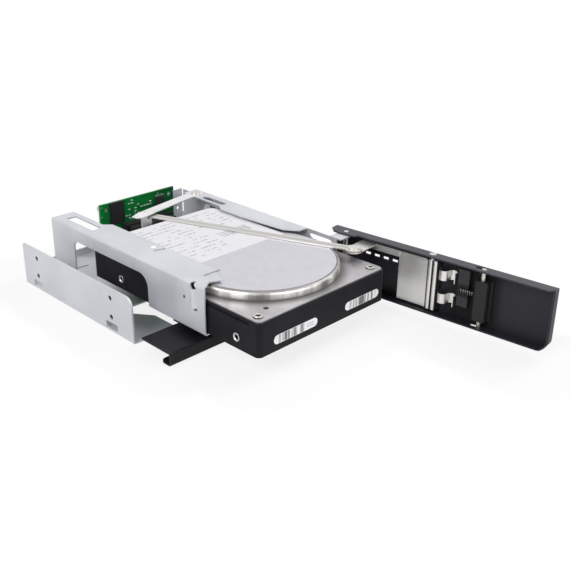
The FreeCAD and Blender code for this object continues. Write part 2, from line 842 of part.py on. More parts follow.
def front_stickers():
    """Two narrow stickers with round ends on the drive's front face."""
    z = drive_bottom + sticker_centre
    radius = sticker_height / 2
    y = drive_front - label_thickness
    solids = []
    for left, right in sticker_spans:
        middle = box(left + radius, right - radius, y, drive_front, z - radius, z + radius)
        ends = [rod_along(BACK, radius, V(x, y, z), label_thickness) for x in (left + radius, right - radius)]
        solids.append(joined(middle, *ends))
    return Part.makeCompound(solids)


def cover_screws():
    """Lid screws along both sides."""
    z = drive_base_top + cover_plate
    margin = (dome_half_width + drive_side - cover_inset) / 2
    rows = (drive_front + cover_screw_front, drive_rear - cover_screw_middle, drive_rear - cover_screw_rear)
    solids = []
    for y in rows:
        for x in (-margin, margin):
            solids.append(rod(cover_screw_r, x, y, z, z + cover_screw_height))
    return Part.makeCompound(solids)


def eject_lever():
    """Flat lever with a tapered tip and the pusher tab bent down behind the drive."""
    half, tip_half = lever_width / 2, lever_tip_width / 2
    outline = (
        (0, -half), (pusher_stem, -half), (lever_length, -tip_half), (lever_length, tip_half), (pusher_to, half), (0, half),
    )
    lever = joined(slab(outline, lever_bottom, lever_top), rod(lever_boss_r, 0, 0, lever_bottom, lever_top))
    outer = half + lever_sheet
    stem = box(pusher_stem, pusher_to, half - lever_sheet, outer, link_bottom - flat_gap, lever_top)
    pad = box(pusher_from, pusher_to, half, outer, pusher_bottom, link_bottom - flat_gap)
    lever = joined(lever, stem.cut(box(pusher_stem, pusher_to, half - lever_sheet, half, 0, lever_bottom)), pad)
    lever = lever.cut(rod(rivet_r + pin_play, 0, 0, lever_bottom - cut_over, lever_top + cut_over))
    joint = polar(link_radius, link_joint_angle - lever_rest_angle)
    lever = lever.cut(rod(rivet_r, joint.x, joint.y, lever_bottom - cut_over, lever_top + cut_over))
    return turned(lever, lever_rest_angle, LEVER_PIVOT)


def link_joint_rivet():
    """Shouldered rivet that carries the link under the lever."""
    x, y = LINK_JOINT.x, LINK_JOINT.y
    collar_low = link_top + flat_gap / 3
    collar = rod(rivet_r + lever_sheet, x, y, collar_low, lever_bottom)
    tail_top = link_bottom - flat_gap / 3
    tail = rod(rivet_tail_r, x, y, tail_top - rivet_head, tail_top)
    return joined(rod(rivet_r, x, y, tail_top - rivet_head, lever_top), collar, tail)


def pull_link():
    """Flat link from the lever to the door's crank, wider at its front eye."""
    length = LINK_LINE.Length
    half = link_width / 2
    bar = slab(((0, -half), (length, -half), (length, half), (0, half)), link_bottom, link_top)
    link = joined(bar, rod(link_eye_r, 0, 0, link_bottom, link_top), rod(link_front_eye_r, length, 0, link_bottom, link_top))
    link = link.cut(rod(rivet_r + pin_play, 0, 0, link_bottom - cut_over, link_top + cut_over))
    link = link.cut(rod(link_pin_r, length, 0, link_bottom - cut_over, link_top + cut_over))
    return turned(link, link_angle, LINK_JOINT)


def link_pin():
    """Headed pin at the link's front eye, hanging through the crank's round hole."""
    shank = rod(link_pin_r, CRANK.x, CRANK.y, bracket_low - rivet_head, link_top)
    return joined(shank, rod(rivet_head_r, CRANK.x, CRANK.y, link_top, link_top + rivet_head))


def door_box(from_hinge, to_hinge, y0, y1, z0, z1):
    """Block in the closed door's frame, measured along the door from the hinge to the free end."""
    return box(-from_hinge, -to_hinge, y0, y1, z0, z1)


def opened(shape):
    """Door piece swung to the open pose about the hinge axis."""
    return turned(shape, door_open_angle, HINGE)


def lip_slot(z0, z1):
    """Cutter for the latch pin's slot in one lip, long enough for the pin's travel."""
    width = 2 * (latch_pin_r + latch_slot_play)
    y = -latch_pin_depth
    far = latch_pin_station + latch_slot_play
    near = latch_pin_station - latch_travel - latch_slot_play
    return joined(
        door_box(near, far, y - width / 2, y + width / 2, z0, z1),
        rod(width / 2, -near, y, z0, z1),
        rod(width / 2, -far, y, z0, z1),
    )


def door_panel():
    """Door sheet: panel with top, bottom and end lips, deeper at the hinge, with vents, latch slots and thumb window."""
    edge = panel_out + lip_depth
    hinge_edge = panel_out + hinge_lip_depth
    hinge_start = hinge_lip_length - hinge_tail
    outline = (
        (hinge_tail, panel_out), (hinge_tail, hinge_edge - tail_bevel), (hinge_tail - tail_bevel, hinge_edge),
        (-hinge_start, hinge_edge), (-hinge_start - cut_over, edge),
        (door_bevel - door_reach, edge), (-door_reach, edge - door_bevel), (-door_reach, panel_out),
    )
    door = slab(outline, door_bottom, door_top)
    end, low = door_sheet - door_reach, door_bottom + door_sheet
    hollow = box(hinge_tail + cut_over, end, panel_in, hinge_edge + cut_over, low, door_top - door_sheet)
    door = door.cut(round_edges(hollow, door_corner_r - door_sheet, BACK, [V(end, 0, low)]))
    bends = (V(0, panel_out, door_bottom), V(0, panel_out, door_top))
    door = round_edges(door, door_sheet + bend_inner, RIGHT, bends)
    free_corner = door_box(door_reach - door_corner_r, door_reach, panel_out - cut_over, edge + cut_over, door_bottom, door_bottom + door_corner_r)
    round_off = rod_along(BACK, door_corner_r, V(door_corner_r - door_reach, panel_out - cut_over, door_bottom + door_corner_r), lip_depth + 2 * cut_over)
    door = door.cut(free_corner.cut(round_off))
    for z0, z1 in ((door_bottom - cut_over, door_bottom + cut_over), (door_top - cut_over, door_top + cut_over)):
        door = door.cut(rod(hinge_pin_r + pin_play, 0, 0, z0, z1)).cut(lip_slot(z0, z1))
    door = door.cut(rod(lip_hole_r, -lip_hole_at, -latch_pin_depth, door_top - cut_over, door_top + cut_over))
    for z, first, count in ((vent_row_z, vent_first, vent_count),):
        for step in range(count):
            at = first + step * vent_pitch
            door = door.cut(door_box(at, at + vent_length, panel_out - cut_over, panel_in + cut_over, z, z + vent_height))
    column_at = vent_first + vent_count * vent_pitch - vent_length / 2
    for step in range(vent_column_count):
        z = vent_row_z - (step + 1) * vent_column_pitch
        door = door.cut(door_box(column_at, column_at + vent_height, panel_out - cut_over, panel_in + cut_over, z, z + vent_height))
    neck_half = thumb_neck_length / 2
    window = door_box(
        latch_pin_station - neck_half - latch_travel - thumb_gap, latch_pin_station + neck_half + thumb_gap,
        panel_out - cut_over, panel_in + cut_over, thumb_neck_bottom - thumb_gap, thumb_neck_top + thumb_gap,
    )
    door = door.cut(window)
    for z in (bracket_rivet_low, bracket_rivet_high):
        door = door.cut(rod_along(BACK, bracket_rivet_r, V(-bracket_rivet_station, panel_out - cut_over, z), 2 * cut_over))
    return opened(door)


def door_bracket():
    """Bright bracket: crank arm, flanged top strip, stand-off plate with a foot, rolled beads and a riveted tail."""
    arm_near, arm_far = crank_x + crank_r, crank_x - crank_r
    strip_edge = panel_in + bracket_strip_depth
    outline = (
        (arm_near, panel_in), (arm_near, crank_y), (arm_far, crank_y), (arm_far, strip_edge),
        (-bracket_strip_end, strip_edge), (-bracket_strip_end, panel_in),
    )
    strip = joined(slab(outline, bracket_low, bracket_top), rod(crank_r, crank_x, crank_y, bracket_low, bracket_top))
    strip = strip.cut(rod(crank_hole_r, crank_x, crank_y, bracket_low - cut_over, bracket_top + cut_over))
    face = panel_in + bracket_standoff
    plate = door_box(bracket_plate_from, bracket_plate_to, face, face + bracket_sheet, bracket_plate_bottom, bracket_top)
    foot = door_box(
        bracket_plate_from, bracket_plate_to, panel_in, face + bracket_sheet,
        bracket_plate_bottom, bracket_plate_bottom + bracket_sheet,
    )
    strip_flange = box(arm_near, -bracket_plate_from, strip_edge - bracket_sheet, strip_edge, strip_flange_bottom, bracket_top)
    bracket = joined(strip, strip_flange, plate, foot)
    for station in bead_stations:
        shell = rod(bead_r, -station, face, bracket_plate_bottom, bracket_low)
        bracket = joined(bracket, shell)
    tail = door_box(bracket_plate_to, bracket_strip_end, panel_in, panel_in + bracket_sheet, bracket_plate_bottom, bracket_top)
    web = door_box(bracket_strip_end - bracket_sheet, bracket_strip_end, panel_in, face, bracket_plate_bottom, bracket_top)
    bracket = joined(bracket, tail, web)
    for z in (bracket_rivet_low, bracket_rivet_high):
        bracket = bracket.cut(rod_along(BACK, bracket_rivet_r, V(-bracket_rivet_station, panel_in, z), bracket_sheet))
    return opened(bracket)


def bracket_rivets():
    """Flush rivets of the bracket's tail in the panel, and the headed one that hangs its strip from the top lip."""
    through = door_sheet + bracket_sheet
    solids = []
    for z in (bracket_rivet_low, bracket_rivet_high):
        solids.append(opened(rod_along(BACK, bracket_rivet_r, V(-bracket_rivet_station, panel_out, z), through)))
    shank = rod(lip_hole_r, -lip_hole_at, -latch_pin_depth, bracket_top, door_top)
    head = rod(lip_rivet_head_r, -lip_hole_at, -latch_pin_depth, door_top, door_top + lip_rivet_head)
    return Part.makeCompound(solids + [opened(joined(shank, head))])


def spring_finger(z):
    """One leaf spring: a foot on the panel, a crest and a trough, and a lifted end."""
    outer = finger_wave_r + finger_sheet / 2
    inner = finger_wave_r - finger_sheet / 2
    y = panel_in + outer
    crest_x = -bracket_strip_end - finger_gap - outer
    trough_x = crest_x - 2 * finger_wave_r
    top = z + finger_height
    crest = rod(outer, crest_x, y, z, top).cut(rod(inner, crest_x, y, z, top))
    crest = crest.common(box(crest_x - outer, crest_x + outer, y, y + outer, z, top))
    trough = rod(outer, trough_x, y, z, top).cut(rod(inner, trough_x, y, z, top))
    trough = trough.common(box(trough_x - outer, trough_x + outer, y - outer, y, z, top))
    start = crest_x + finger_wave_r
    foot = box(start - finger_sheet / 2, start + finger_sheet / 2, panel_in, y, z, top)
    end = trough_x - finger_wave_r
    lift = box(end - finger_sheet / 2, end + finger_sheet / 2, y, y + finger_wave_r, z, top)
    return opened(joined(crest, trough, foot, lift))


def spring_fingers():
    """The upper and lower leaf springs."""
    return Part.makeCompound([spring_finger(z) for z in (finger_low, finger_high)])


def latch_block():
    """Moulded stop on the panel with the pocket that the latch spring sits in."""
    top = panel_in + latch_block_depth
    block = door_box(latch_block_from, latch_block_to, panel_in, top, latch_block_bottom, latch_block_top)
    half = spring_r + flat_gap
    wall = (latch_block_to - latch_block_from) / 4
    pocket = door_box(latch_block_from + wall, latch_block_to, panel_in + carriage_gap, top, spring_height - half, spring_height + half)
    return opened(block.cut(pocket))


def spring_span():
    """Ends of the latch spring, measured along the door."""
    wall = (latch_block_to - latch_block_from) / 4
    return latch_block_from + wall, latch_pin_station - sleeve_length / 2


def latch_spring():
    """Coil spring between the block's pocket and the latch sleeve."""
    start, end = spring_span()
    room = end - start - 2 * spring_wire_r
    mean_r = spring_r - spring_wire_r
    steps = spring_turns * spring_sides
    corners = [
        polar(mean_r, 360 * step / spring_sides) + UP * (room * step / steps) for step in range(steps + 1)
    ]
    path = Part.makePolygon(corners)
    across = RIGHT.cross(corners[1] - corners[0]).normalize()
    around = [polar(spring_wire_r, 360 * side / spring_wire_sides) for side in range(spring_wire_sides + 1)]
    wire_end = Part.makePolygon([corners[0] + RIGHT * spot.x + across * spot.y for spot in around])
    right_corners = 1
    coil = path.makePipeShell([wire_end], True, False, right_corners)
    coil.rotate(ORIGIN, BACK, -90)
    coil.translate(V(-start - spring_wire_r, -latch_pin_depth, spring_height))
    return opened(coil)


def latch_sleeve():
    """Black sleeve round the latch pin."""
    half = sleeve_length / 2
    low, high = -latch_pin_depth - sleeve_high, -latch_pin_depth + sleeve_low
    sleeve = door_box(latch_pin_station - half, latch_pin_station + half, low, high, sleeve_bottom, sleeve_top)
    edges = [V(-latch_pin_station + side * half, high, 0) for side in (-1, 1)]
    sleeve = round_edges(sleeve, sleeve_r, UP, edges)
    return opened(sleeve.cut(rod(latch_pin_r, -latch_pin_station, -latch_pin_depth, sleeve_bottom - cut_over, sleeve_top + cut_over)))


def latch_pin():
    """Steel pin whose ends run in the slots of both lips."""
    return opened(rod(latch_pin_r, -latch_pin_station, -latch_pin_depth, door_bottom + flat_gap, door_top - flat_gap))


def latch_carriage():
    """Plate under the sleeve with the neck that reaches out through the panel's window."""
    top = -latch_pin_depth - sleeve_high
    low = panel_in + carriage_gap
    start = latch_pin_station - sleeve_length / 2
    plate = door_box(start, start + carriage_length, low, top, sleeve_bottom, sleeve_top)
    half = thumb_neck_length / 2
    neck = door_box(
        latch_pin_station - half, latch_pin_station + half, panel_out - thumb_gap, low, thumb_neck_bottom, thumb_neck_top,
    )
    return opened(joined(plate, neck))


def latch_thumb():
    """Ribbed thumb tab on the outside of the door."""
    inner = panel_out - thumb_gap
    outer = inner - thumb_thickness
    half = thumb_length / 2
    middle = latch_pin_station - latch_travel / 2
    bottom, top = thumb_neck_bottom - thumb_margin, thumb_neck_top + thumb_margin
    tab = door_box(middle - half, middle + half, outer, inner, bottom, top)
    tab = round_edges(tab, thumb_margin, BACK, [V(-middle + side * half, 0, z) for side in (-1, 1) for z in (bottom, top)])
    count = int((thumb_length - 2 * thumb_margin) / thumb_rib_pitch)
    for step in range(count):
        station = middle - half + thumb_margin + (step + 0.5) * thumb_rib_pitch
        groove = rod(thumb_rib_r, -station, outer, bottom + thumb_margin, top - thumb_margin)
        tab = tab.cut(groove)
    return opened(tab)


PIECES = {
    "base_tray": base_tray,
    "left_side_wall": left_side_wall,
    "right_side_wall": right_side_wall,
    "chassis_rivets": chassis_rivets,
    "front_trim": front_trim,
    "trim_rivets": trim_rivets,
    "hinge_pin": hinge_pin,
    "lever_rivet": lever_rivet,
    "rear_plate": rear_plate,
    "board_spacers": board_spacers,
    "backplane_board": backplane_board,
    "board_screws": board_screws,
    "drive_socket": drive_socket,
    "data_port": lambda: port(data_port_span),
    "power_port": lambda: port(power_port_span),
    "board_tape": board_tape,
    "board_parts": board_parts,
    "drive_base": drive_base,
    "drive_board": drive_board,
    "drive_plug": drive_plug,
    "drive_cover": drive_cover,
    "drive_label": drive_label,
    "front_stickers": front_stickers,
    "cover_screws": cover_screws,
    "eject_lever": eject_lever,
    "link_joint_rivet": link_joint_rivet,
    "pull_link": pull_link,
    "link_pin": link_pin,
    "door_panel": door_panel,
    "door_bracket": door_bracket,
    "bracket_rivets": bracket_rivets,
    "spring_fingers": spring_fingers,
    "latch_block": latch_block,
    "latch_spring": latch_spring,
    "latch_sleeve": latch_sleeve,
    "latch_pin": latch_pin,
    "latch_carriage": latch_carriage,
    "latch_thumb": latch_thumb,
}

os.makedirs("parts", exist_ok=True)
for name, make in PIECES.items():
    make().exportStep(os.path.join("parts", name + ".step"))
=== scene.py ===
"""Looks for the drive rack: finishes of the CAD pieces, small parts they leave plain, and the studio."""
from __future__ import annotations

import json
import logging
import math
from dataclasses import dataclass, field
from enum import Enum
from functools import reduce

import bmesh
import bpy
import numpy as np
from mathutils import Matrix, Vector

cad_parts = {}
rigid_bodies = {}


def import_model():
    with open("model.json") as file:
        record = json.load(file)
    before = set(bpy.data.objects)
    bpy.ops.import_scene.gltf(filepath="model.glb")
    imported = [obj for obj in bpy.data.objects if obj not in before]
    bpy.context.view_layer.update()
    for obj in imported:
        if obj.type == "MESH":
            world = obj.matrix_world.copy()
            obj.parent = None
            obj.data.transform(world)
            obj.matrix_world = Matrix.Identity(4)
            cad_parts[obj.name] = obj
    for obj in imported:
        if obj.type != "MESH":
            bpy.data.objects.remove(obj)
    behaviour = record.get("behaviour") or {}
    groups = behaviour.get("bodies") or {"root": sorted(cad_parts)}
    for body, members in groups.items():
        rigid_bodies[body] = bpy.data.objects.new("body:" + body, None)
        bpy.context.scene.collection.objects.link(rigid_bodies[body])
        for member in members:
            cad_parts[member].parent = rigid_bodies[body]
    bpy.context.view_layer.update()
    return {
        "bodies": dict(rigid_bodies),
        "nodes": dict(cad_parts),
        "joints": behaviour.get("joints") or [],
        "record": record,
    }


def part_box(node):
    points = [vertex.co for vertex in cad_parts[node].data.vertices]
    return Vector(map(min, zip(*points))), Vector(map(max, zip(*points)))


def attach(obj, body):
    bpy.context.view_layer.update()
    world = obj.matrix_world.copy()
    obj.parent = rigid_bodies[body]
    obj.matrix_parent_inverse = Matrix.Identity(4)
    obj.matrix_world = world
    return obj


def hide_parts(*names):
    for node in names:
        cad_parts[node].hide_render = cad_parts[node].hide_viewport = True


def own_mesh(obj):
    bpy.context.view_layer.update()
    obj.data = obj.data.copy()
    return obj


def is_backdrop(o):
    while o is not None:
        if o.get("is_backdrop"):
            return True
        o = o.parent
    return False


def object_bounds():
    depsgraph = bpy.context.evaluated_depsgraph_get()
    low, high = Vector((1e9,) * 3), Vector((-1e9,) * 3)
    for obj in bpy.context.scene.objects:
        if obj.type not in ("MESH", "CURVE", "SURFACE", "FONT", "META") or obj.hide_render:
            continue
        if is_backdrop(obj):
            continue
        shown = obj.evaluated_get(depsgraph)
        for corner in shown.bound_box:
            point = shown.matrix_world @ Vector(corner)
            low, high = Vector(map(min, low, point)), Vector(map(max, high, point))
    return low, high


LOG = logging.getLogger("drive_rack")
MM = 0.001
TURN = 2 * math.pi
UP = (0.0, 0.0, 1.0)
WHITE = (1.0, 1.0, 1.0)
CLOUDY = (0.3, 0.7)  # Range of noise over which a cloud rises from none to full
COARSE = 3  # Points in each rounded corner of a tiny block
SAME_PLACE = 1e-7  # Points nearer than this are one point

Triple = tuple[float, float, float]
Colour = Triple
Span = tuple[float, float]
Block = tuple[Span, Span]
Box = tuple[Vector, Vector]
Grid = tuple[np.ndarray, bool, bool]
Material = bpy.types.Material
Socket = bpy.types.NodeSocket
Settings = dict[str, object] | None
Sockets = dict[object, object] | None


class Body(Enum):
    """Bodies that new pieces ride on."""

    FRAME = "frame"
    DRIVE = "drive"
    DOOR = "door"


class Slot(Enum):
    """Material slots of new pieces."""

    ZINC = "zinc_sheet"
    STEEL = "bright_steel"
    SMALL = "small_parts"


class Mathop(Enum):
    """Operations of a Math node that expressions use."""

    ADD = "ADD"
    SUBTRACT = "SUBTRACT"
    MULTIPLY = "MULTIPLY"
    DIVIDE = "DIVIDE"
    ABOVE = "GREATER_THAN"
    BELOW = "LESS_THAN"
    FLOOR = "FLOOR"
    FRACTION = "FRACT"
    ABSOLUTE = "ABSOLUTE"
    ROOT = "SQRT"
    LARGER = "MAXIMUM"
    SMALLER = "MINIMUM"


class Value:
    """A number that changes over a surface, written in expressions that add Math nodes."""

    def __init__(self, graph: Graph, socket: Socket) -> None:
        """Wraps an output socket of a graph."""
        self.graph = graph
        self.socket = socket

    def _with(self, op: Mathop, first: object, second: object = 0.0) -> Value:
        """Result of one Math node on two values or numbers."""
        return self.graph.value("ShaderNodeMath", {"operation": op.value}, {0: first, 1: second})

    def __add__(self, other: object) -> Value:
        """Sum."""
        return self._with(Mathop.ADD, self, other)

    __radd__ = __add__

    def __sub__(self, other: object) -> Value:
        """Difference."""
        return self._with(Mathop.SUBTRACT, self, other)

    def __rsub__(self, other: object) -> Value:
        """Difference with the value second."""
        return self._with(Mathop.SUBTRACT, other, self)

    def __mul__(self, other: object) -> Value:
        """Product."""
        return self._with(Mathop.MULTIPLY, self, other)

    __rmul__ = __mul__

    def __truediv__(self, other: object) -> Value:
        """Quotient."""
        return self._with(Mathop.DIVIDE, self, other)

    def __rtruediv__(self, other: object) -> Value:
        """Quotient with the value second."""
        return self._with(Mathop.DIVIDE, other, self)

    def __gt__(self, other: object) -> Value:
        """One where the value is larger, else zero."""
        return self._with(Mathop.ABOVE, self, other)

    def __lt__(self, other: object) -> Value:
        """One where the value is smaller, else zero."""
        return self._with(Mathop.BELOW, self, other)

    def __abs__(self) -> Value:
        """Distance from zero."""
        return self._with(Mathop.ABSOLUTE, self)

    def floor(self) -> Value:
        """Whole part."""
        return self._with(Mathop.FLOOR, self)

    def fraction(self) -> Value:
        """Part after the whole number."""
        return self._with(Mathop.FRACTION, self)

    def root(self) -> Value:
        """Square root."""
        return self._with(Mathop.ROOT, self)

    def larger(self, other: object) -> Value:
        """The larger of two."""
        return self._with(Mathop.LARGER, self, other)

    def smaller(self, other: object) -> Value:
        """The smaller of two."""
        return self._with(Mathop.SMALLER, self, other)

    def between(self, low: float, high: float) -> Value:
        """One where the value lies between two numbers, else zero."""
        return (self > low) * (self < high)

    def ramp(self, low: float, high: float) -> Value:
        """Smooth rise from zero at the low number to one at the high number."""
        sockets = {"Value": self, "From Min": low, "From Max": high}
        return self.graph.value("ShaderNodeMapRange", {"interpolation_type": "SMOOTHSTEP"}, sockets)

    def at_least(self, least: float) -> Value:
        """Values from zero to one, brought into the range from a least number to one."""
        return least + (1 - least) * self

    def mixed(self, share: float, other: Value) -> Value:
        """Mean of two values, with this one's share."""
        return self * share + other * (1 - share)


class Graph:
    """The node tree of a material or of the world."""

    def __init__(self, owner: Material | bpy.types.World) -> None:
        """Starts an empty tree.

        Args:
            owner: The material or world that it belongs to.
        """
        self.owner = owner
        owner.use_nodes = True
        self.tree = owner.node_tree
        self.tree.nodes.clear()
        self._place: bpy.types.Node | None = None

    @classmethod
    def named(cls, name: str) -> Graph:
        """Tree of a new material."""
        return cls(bpy.data.materials.new(name))

    def node(self, kind: str, settings: Settings = None, sockets: Sockets = None) -> bpy.types.Node:
        """Adds any node.

        Args:
            kind: The node's type.
            settings: Properties that are set first.
            sockets: Input name or index to a number, a colour, a Value or an output socket.

        Returns:
            The node.
        """
        node = self.tree.nodes.new(kind)
        for key, setting in (settings or {}).items():
            setattr(node, key, setting)
        for key, given in (sockets or {}).items():
            socket = node.inputs[key]
            source = given.socket if isinstance(given, Value) else given
            if isinstance(source, Socket):
                self.tree.links.new(source, socket)
            elif socket.type == "RGBA":
                socket.default_value = (*source, 1.0)
            else:
                socket.default_value = source
        return node

    def value(self, kind: str, settings: Settings, sockets: Sockets) -> Value:
        """First output of a new node, as a value."""
        return Value(self, self.node(kind, settings, sockets).outputs[0])

    def place(self) -> Socket:
        """Place on the object, in metres.

        Returns:
            The vector's socket, on one node for the whole tree.
        """
        if self._place is None:
            self._place = self.node("ShaderNodeTexCoord")
        return self._place.outputs["Object"]

    def moved(self, centre: Vector, degrees: float = 0.0) -> Socket:
        """Place measured from a centre along axes turned about the vertical.

        Args:
            centre: The new zero.
            degrees: Turn of the new first axis from X.

        Returns:
            The vector's socket.
        """
        turn = (0.0, 0.0, math.radians(degrees))
        sockets = {"Vector": self.place(), "Location": centre, "Rotation": turn}
        return self.node("ShaderNodeMapping", {"vector_type": "TEXTURE"}, sockets).outputs[0]

    def axes(self, vector: Socket) -> tuple[Value, ...]:
        """The three numbers of a vector."""
        node = self.node("ShaderNodeSeparateXYZ", None, {0: vector})
        return tuple(Value(self, output) for output in node.outputs)

    def height(self) -> Value:
        """Height on the object."""
        return self.axes(self.place())[2]

    def dice(self, *numbers: Value) -> Value:
        """A steady random number from zero to one for each cell of one to three whole numbers."""
        joined = self.node("ShaderNodeCombineXYZ", None, dict(enumerate(numbers))).outputs[0]
        return self.value("ShaderNodeTexWhiteNoise", {"noise_dimensions": "3D"}, {"Vector": joined})

    def tint(self, factor: Value, low: object, high: object) -> Socket:
        """Colour that goes from low to high with a factor."""
        return self.node("ShaderNodeMix", {"data_type": "RGBA"}, {0: factor, 6: low, 7: high}).outputs[2]

    def ways(self, x: Value, y: Value) -> Socket:
        """Level direction from an axis, of length one, so that a pattern on it runs round the axis."""
        joined = self.node("ShaderNodeCombineXYZ", None, {0: x, 1: y}).outputs[0]
        return self.node("ShaderNodeVectorMath", {"operation": "NORMALIZE"}, {0: joined}).outputs[0]

    def rays(self, *kinds: str) -> Value:
        """One for rays of the named kinds, which are outputs of the Light Path node, else zero."""
        path = self.node("ShaderNodeLightPath")
        return reduce(Value.larger, (Value(self, path.outputs[kind]) for kind in kinds))

    def bump(self, height: Value, depth: float, strength: float = 1.0) -> Socket:
        """Normal of a relief, where a height of one is as deep as the depth in metres."""
        sockets = {"Strength": strength, "Distance": depth, "Height": height}
        return self.node("ShaderNodeBump", None, sockets).outputs[0]

    def close(self, **inputs: object) -> Material:
        """Ends the tree in a Principled shader.

        Args:
            inputs: Its inputs, with underscores for spaces.

        Returns:
            The finished material.
        """
        named = {key.replace("_", " "): given for key, given in inputs.items()}
        shader = self.node("ShaderNodeBsdfPrincipled", None, named)
        self.node("ShaderNodeOutputMaterial", None, {"Surface": shader.outputs[0]})
        return self.owner


@dataclass(frozen=True)
class Noise:
    """A cloudy noise: its waves in a metre, octaves, effect on roughness and factor on each axis.

    Where there is a spread, the noise rises from zero to one over that range.
    """

    scale: float
    detail: float
    rough: float = 0.0
    stretch: Triple = (1.0, 1.0, 1.0)
    spread: Span | None = None

    def on(self, graph: Graph, vector: Socket | None = None) -> Value:
        """Adds the noise to a tree.

        Args:
            graph: The finish's tree.
            vector: Place to read, or the object's own.

        Returns:
            The noise, about 0.5 on average.
        """
        factors = {0: vector or graph.place(), 1: self.stretch}
        place = graph.node("ShaderNodeVectorMath", {"operation": "MULTIPLY"}, factors).outputs[0]
        sockets = {"Vector": place, "Scale": self.scale, "Detail": self.detail}
        noise = graph.value("ShaderNodeTexNoise", None, sockets)
        return noise if self.spread is None else noise.ramp(*self.spread)


@dataclass(frozen=True)
class Skin:
    """A finish of two noises: a broad one shades it from low to high, and a fine one lifts it."""

    name: str
    low: Colour
    high: Colour
    roughness: float
    broad: Noise
    fine: Noise
    relief: float
    metallic: float = 0.0
    specular: float = 0.5

    def shading(self, broad: Value, fine: Value) -> Value:
        """How far the colour is from low to high."""
        return broad

    def lifting(self, graph: Graph, fine: Value) -> Value:
        """Height of the relief."""
        return fine

    def covered(self, graph: Graph, colour: Socket, roughness: Value) -> tuple[Socket, Value]:
        """Colour and roughness once other layers lie on top: none on a plain skin."""
        return colour, roughness

    def material(self) -> Material:
        """Builds the finish.

        Returns:
            The material.
        """
        graph = Graph.named(self.name)
        broad, fine = self.broad.on(graph), self.fine.on(graph)
        colour = graph.tint(self.shading(broad, fine), self.low, self.high)
        layers = ((self.broad.rough, broad), (self.fine.rough, fine))
        roughness = sum((rough * value for rough, value in layers if rough), self.roughness)
        colour, roughness = self.covered(graph, colour, roughness)
        return graph.close(
            Base_Color=colour,
            Metallic=self.metallic,
            Specular_IOR_Level=self.specular,
            Roughness=roughness,
            Normal=graph.bump(self.lifting(graph, fine), self.relief),
        )


@dataclass(frozen=True)
class ZincSheet(Skin):
    """Satin zinc-coated sheet with faint cloudiness, rolling lines and fine flecks."""

    name: str = "zinc_sheet"
    low: Colour = (0.585, 0.60, 0.635)
    high: Colour = (0.64, 0.655, 0.69)
    roughness: float = 0.40
    broad: Noise = Noise(38.0, 4.0, 0.08, spread=(0.35, 0.7))
    fine: Noise = Noise(420.0, 2.0, 0.06, (1.0, 0.06, 1.0))
    relief: float = 6e-6
    metallic: float = 0.4
    fleck: Noise = Noise(1900.0, 1.0)
    fleck_share: float = 0.5

    def lifting(self, graph: Graph, fine: Value) -> Value:
        """Height of the relief: the lines and a share of the flecks."""
        return fine + self.fleck_share * self.fleck.on(graph)


@dataclass(frozen=True)
class PowderCoat(Skin):
    """Satin black powder coat with a fine orange-peel skin."""

    name: str = "black_coat"
    low: Colour = (0.0070, 0.0064, 0.0088)
    high: Colour = (0.0105, 0.0098, 0.0128)
    roughness: float = 0.38
    broad: Noise = Noise(26.0, 3.0, 0.08, spread=CLOUDY)
    fine: Noise = Noise(1500.0, 2.0, 0.05)
    relief: float = 2.2e-5
    specular: float = 0.22


@dataclass(frozen=True)
class LinedCoat(PowderCoat):
    """Powder coat of the door, with a painted highlight along its top edge and painted shade round the latch
    inside.
    """

    name: str = "door_coat"
    low: Colour = (0.0125, 0.0112, 0.0170)
    high: Colour = (0.0180, 0.0165, 0.0235)
    specular: float = 0.28
    hinge: Vector = field(default_factory=Vector)
    degrees: float = 0.0
    # Painted shade round the latch recess; its roughness is raised to soften the sheen there.
    latch_shade: Colour = (0.0022, 0.0020, 0.0026)
    latch_shade_rough: float = 0.3
    rise: Span = (67.0 * MM, 73.0 * MM)
    fall: Span = (97.0 * MM, 105.0 * MM)
    inner_face: Span = (6.3 * MM, 7.0 * MM)
    # Painted highlight: the top edge lighter, as if lit from above.
    lip_painted_light: Colour = (0.045, 0.045, 0.055)
    lip_rise: Span = (0.0, 1.0)

    def covered(self, graph: Graph, colour: Socket, roughness: Value) -> tuple[Socket, Value]:
        """Adds the painted highlight along the top edge, told by its height, and the painted shade round the
        latch.

        The painted shade lies between the rise and the fall along the door, on the inner side of the sheet.

        Args:
            graph: The finish's tree.
            colour: Colour of the coat.
            roughness: Roughness of the coat.

        Returns:
            Colour and roughness with both added.
        """
        # Painted highlight along the top edge.
        lip_lit = graph.tint(graph.height().ramp(*self.lip_rise), colour, self.lip_painted_light)
        along, depth, _ = graph.axes(graph.moved(self.hinge, self.degrees))
        # Painted shade round the latch, on the inner face only.
        latch_shaded = along.ramp(*self.rise) * (1 - along.ramp(*self.fall)) * depth.between(*self.inner_face)
        return graph.tint(latch_shaded, lip_lit, self.latch_shade), roughness + self.latch_shade_rough * latch_shaded


@dataclass(frozen=True)
class Steel(Skin):
    """Bare steel, from brushed to polished, with streaks along one direction."""

    broad: Noise = Noise(45.0, 3.0, 0.05, spread=CLOUDY)
    fine: Noise = Noise(700.0, 3.0, 0.10, (1.0, 0.05, 1.0))
    relief: float = 5e-6
    metallic: float = 1.0
    cloud_share: float = 0.5

    def shading(self, broad: Value, fine: Value) -> Value:
        """How far the colour is from low to high: the mean of clouds and streaks."""
        return broad.mixed(self.cloud_share, fine)


@dataclass(frozen=True)
class Moulding(Skin):
    """Matt moulded plastic with a fine spark-eroded grain."""

    roughness: float = 0.5
    broad: Noise = Noise(60.0, 2.0)
    fine: Noise = Noise(2600.0, 2.0, 0.12)
    relief: float = 2e-5
    specular: float = 0.35


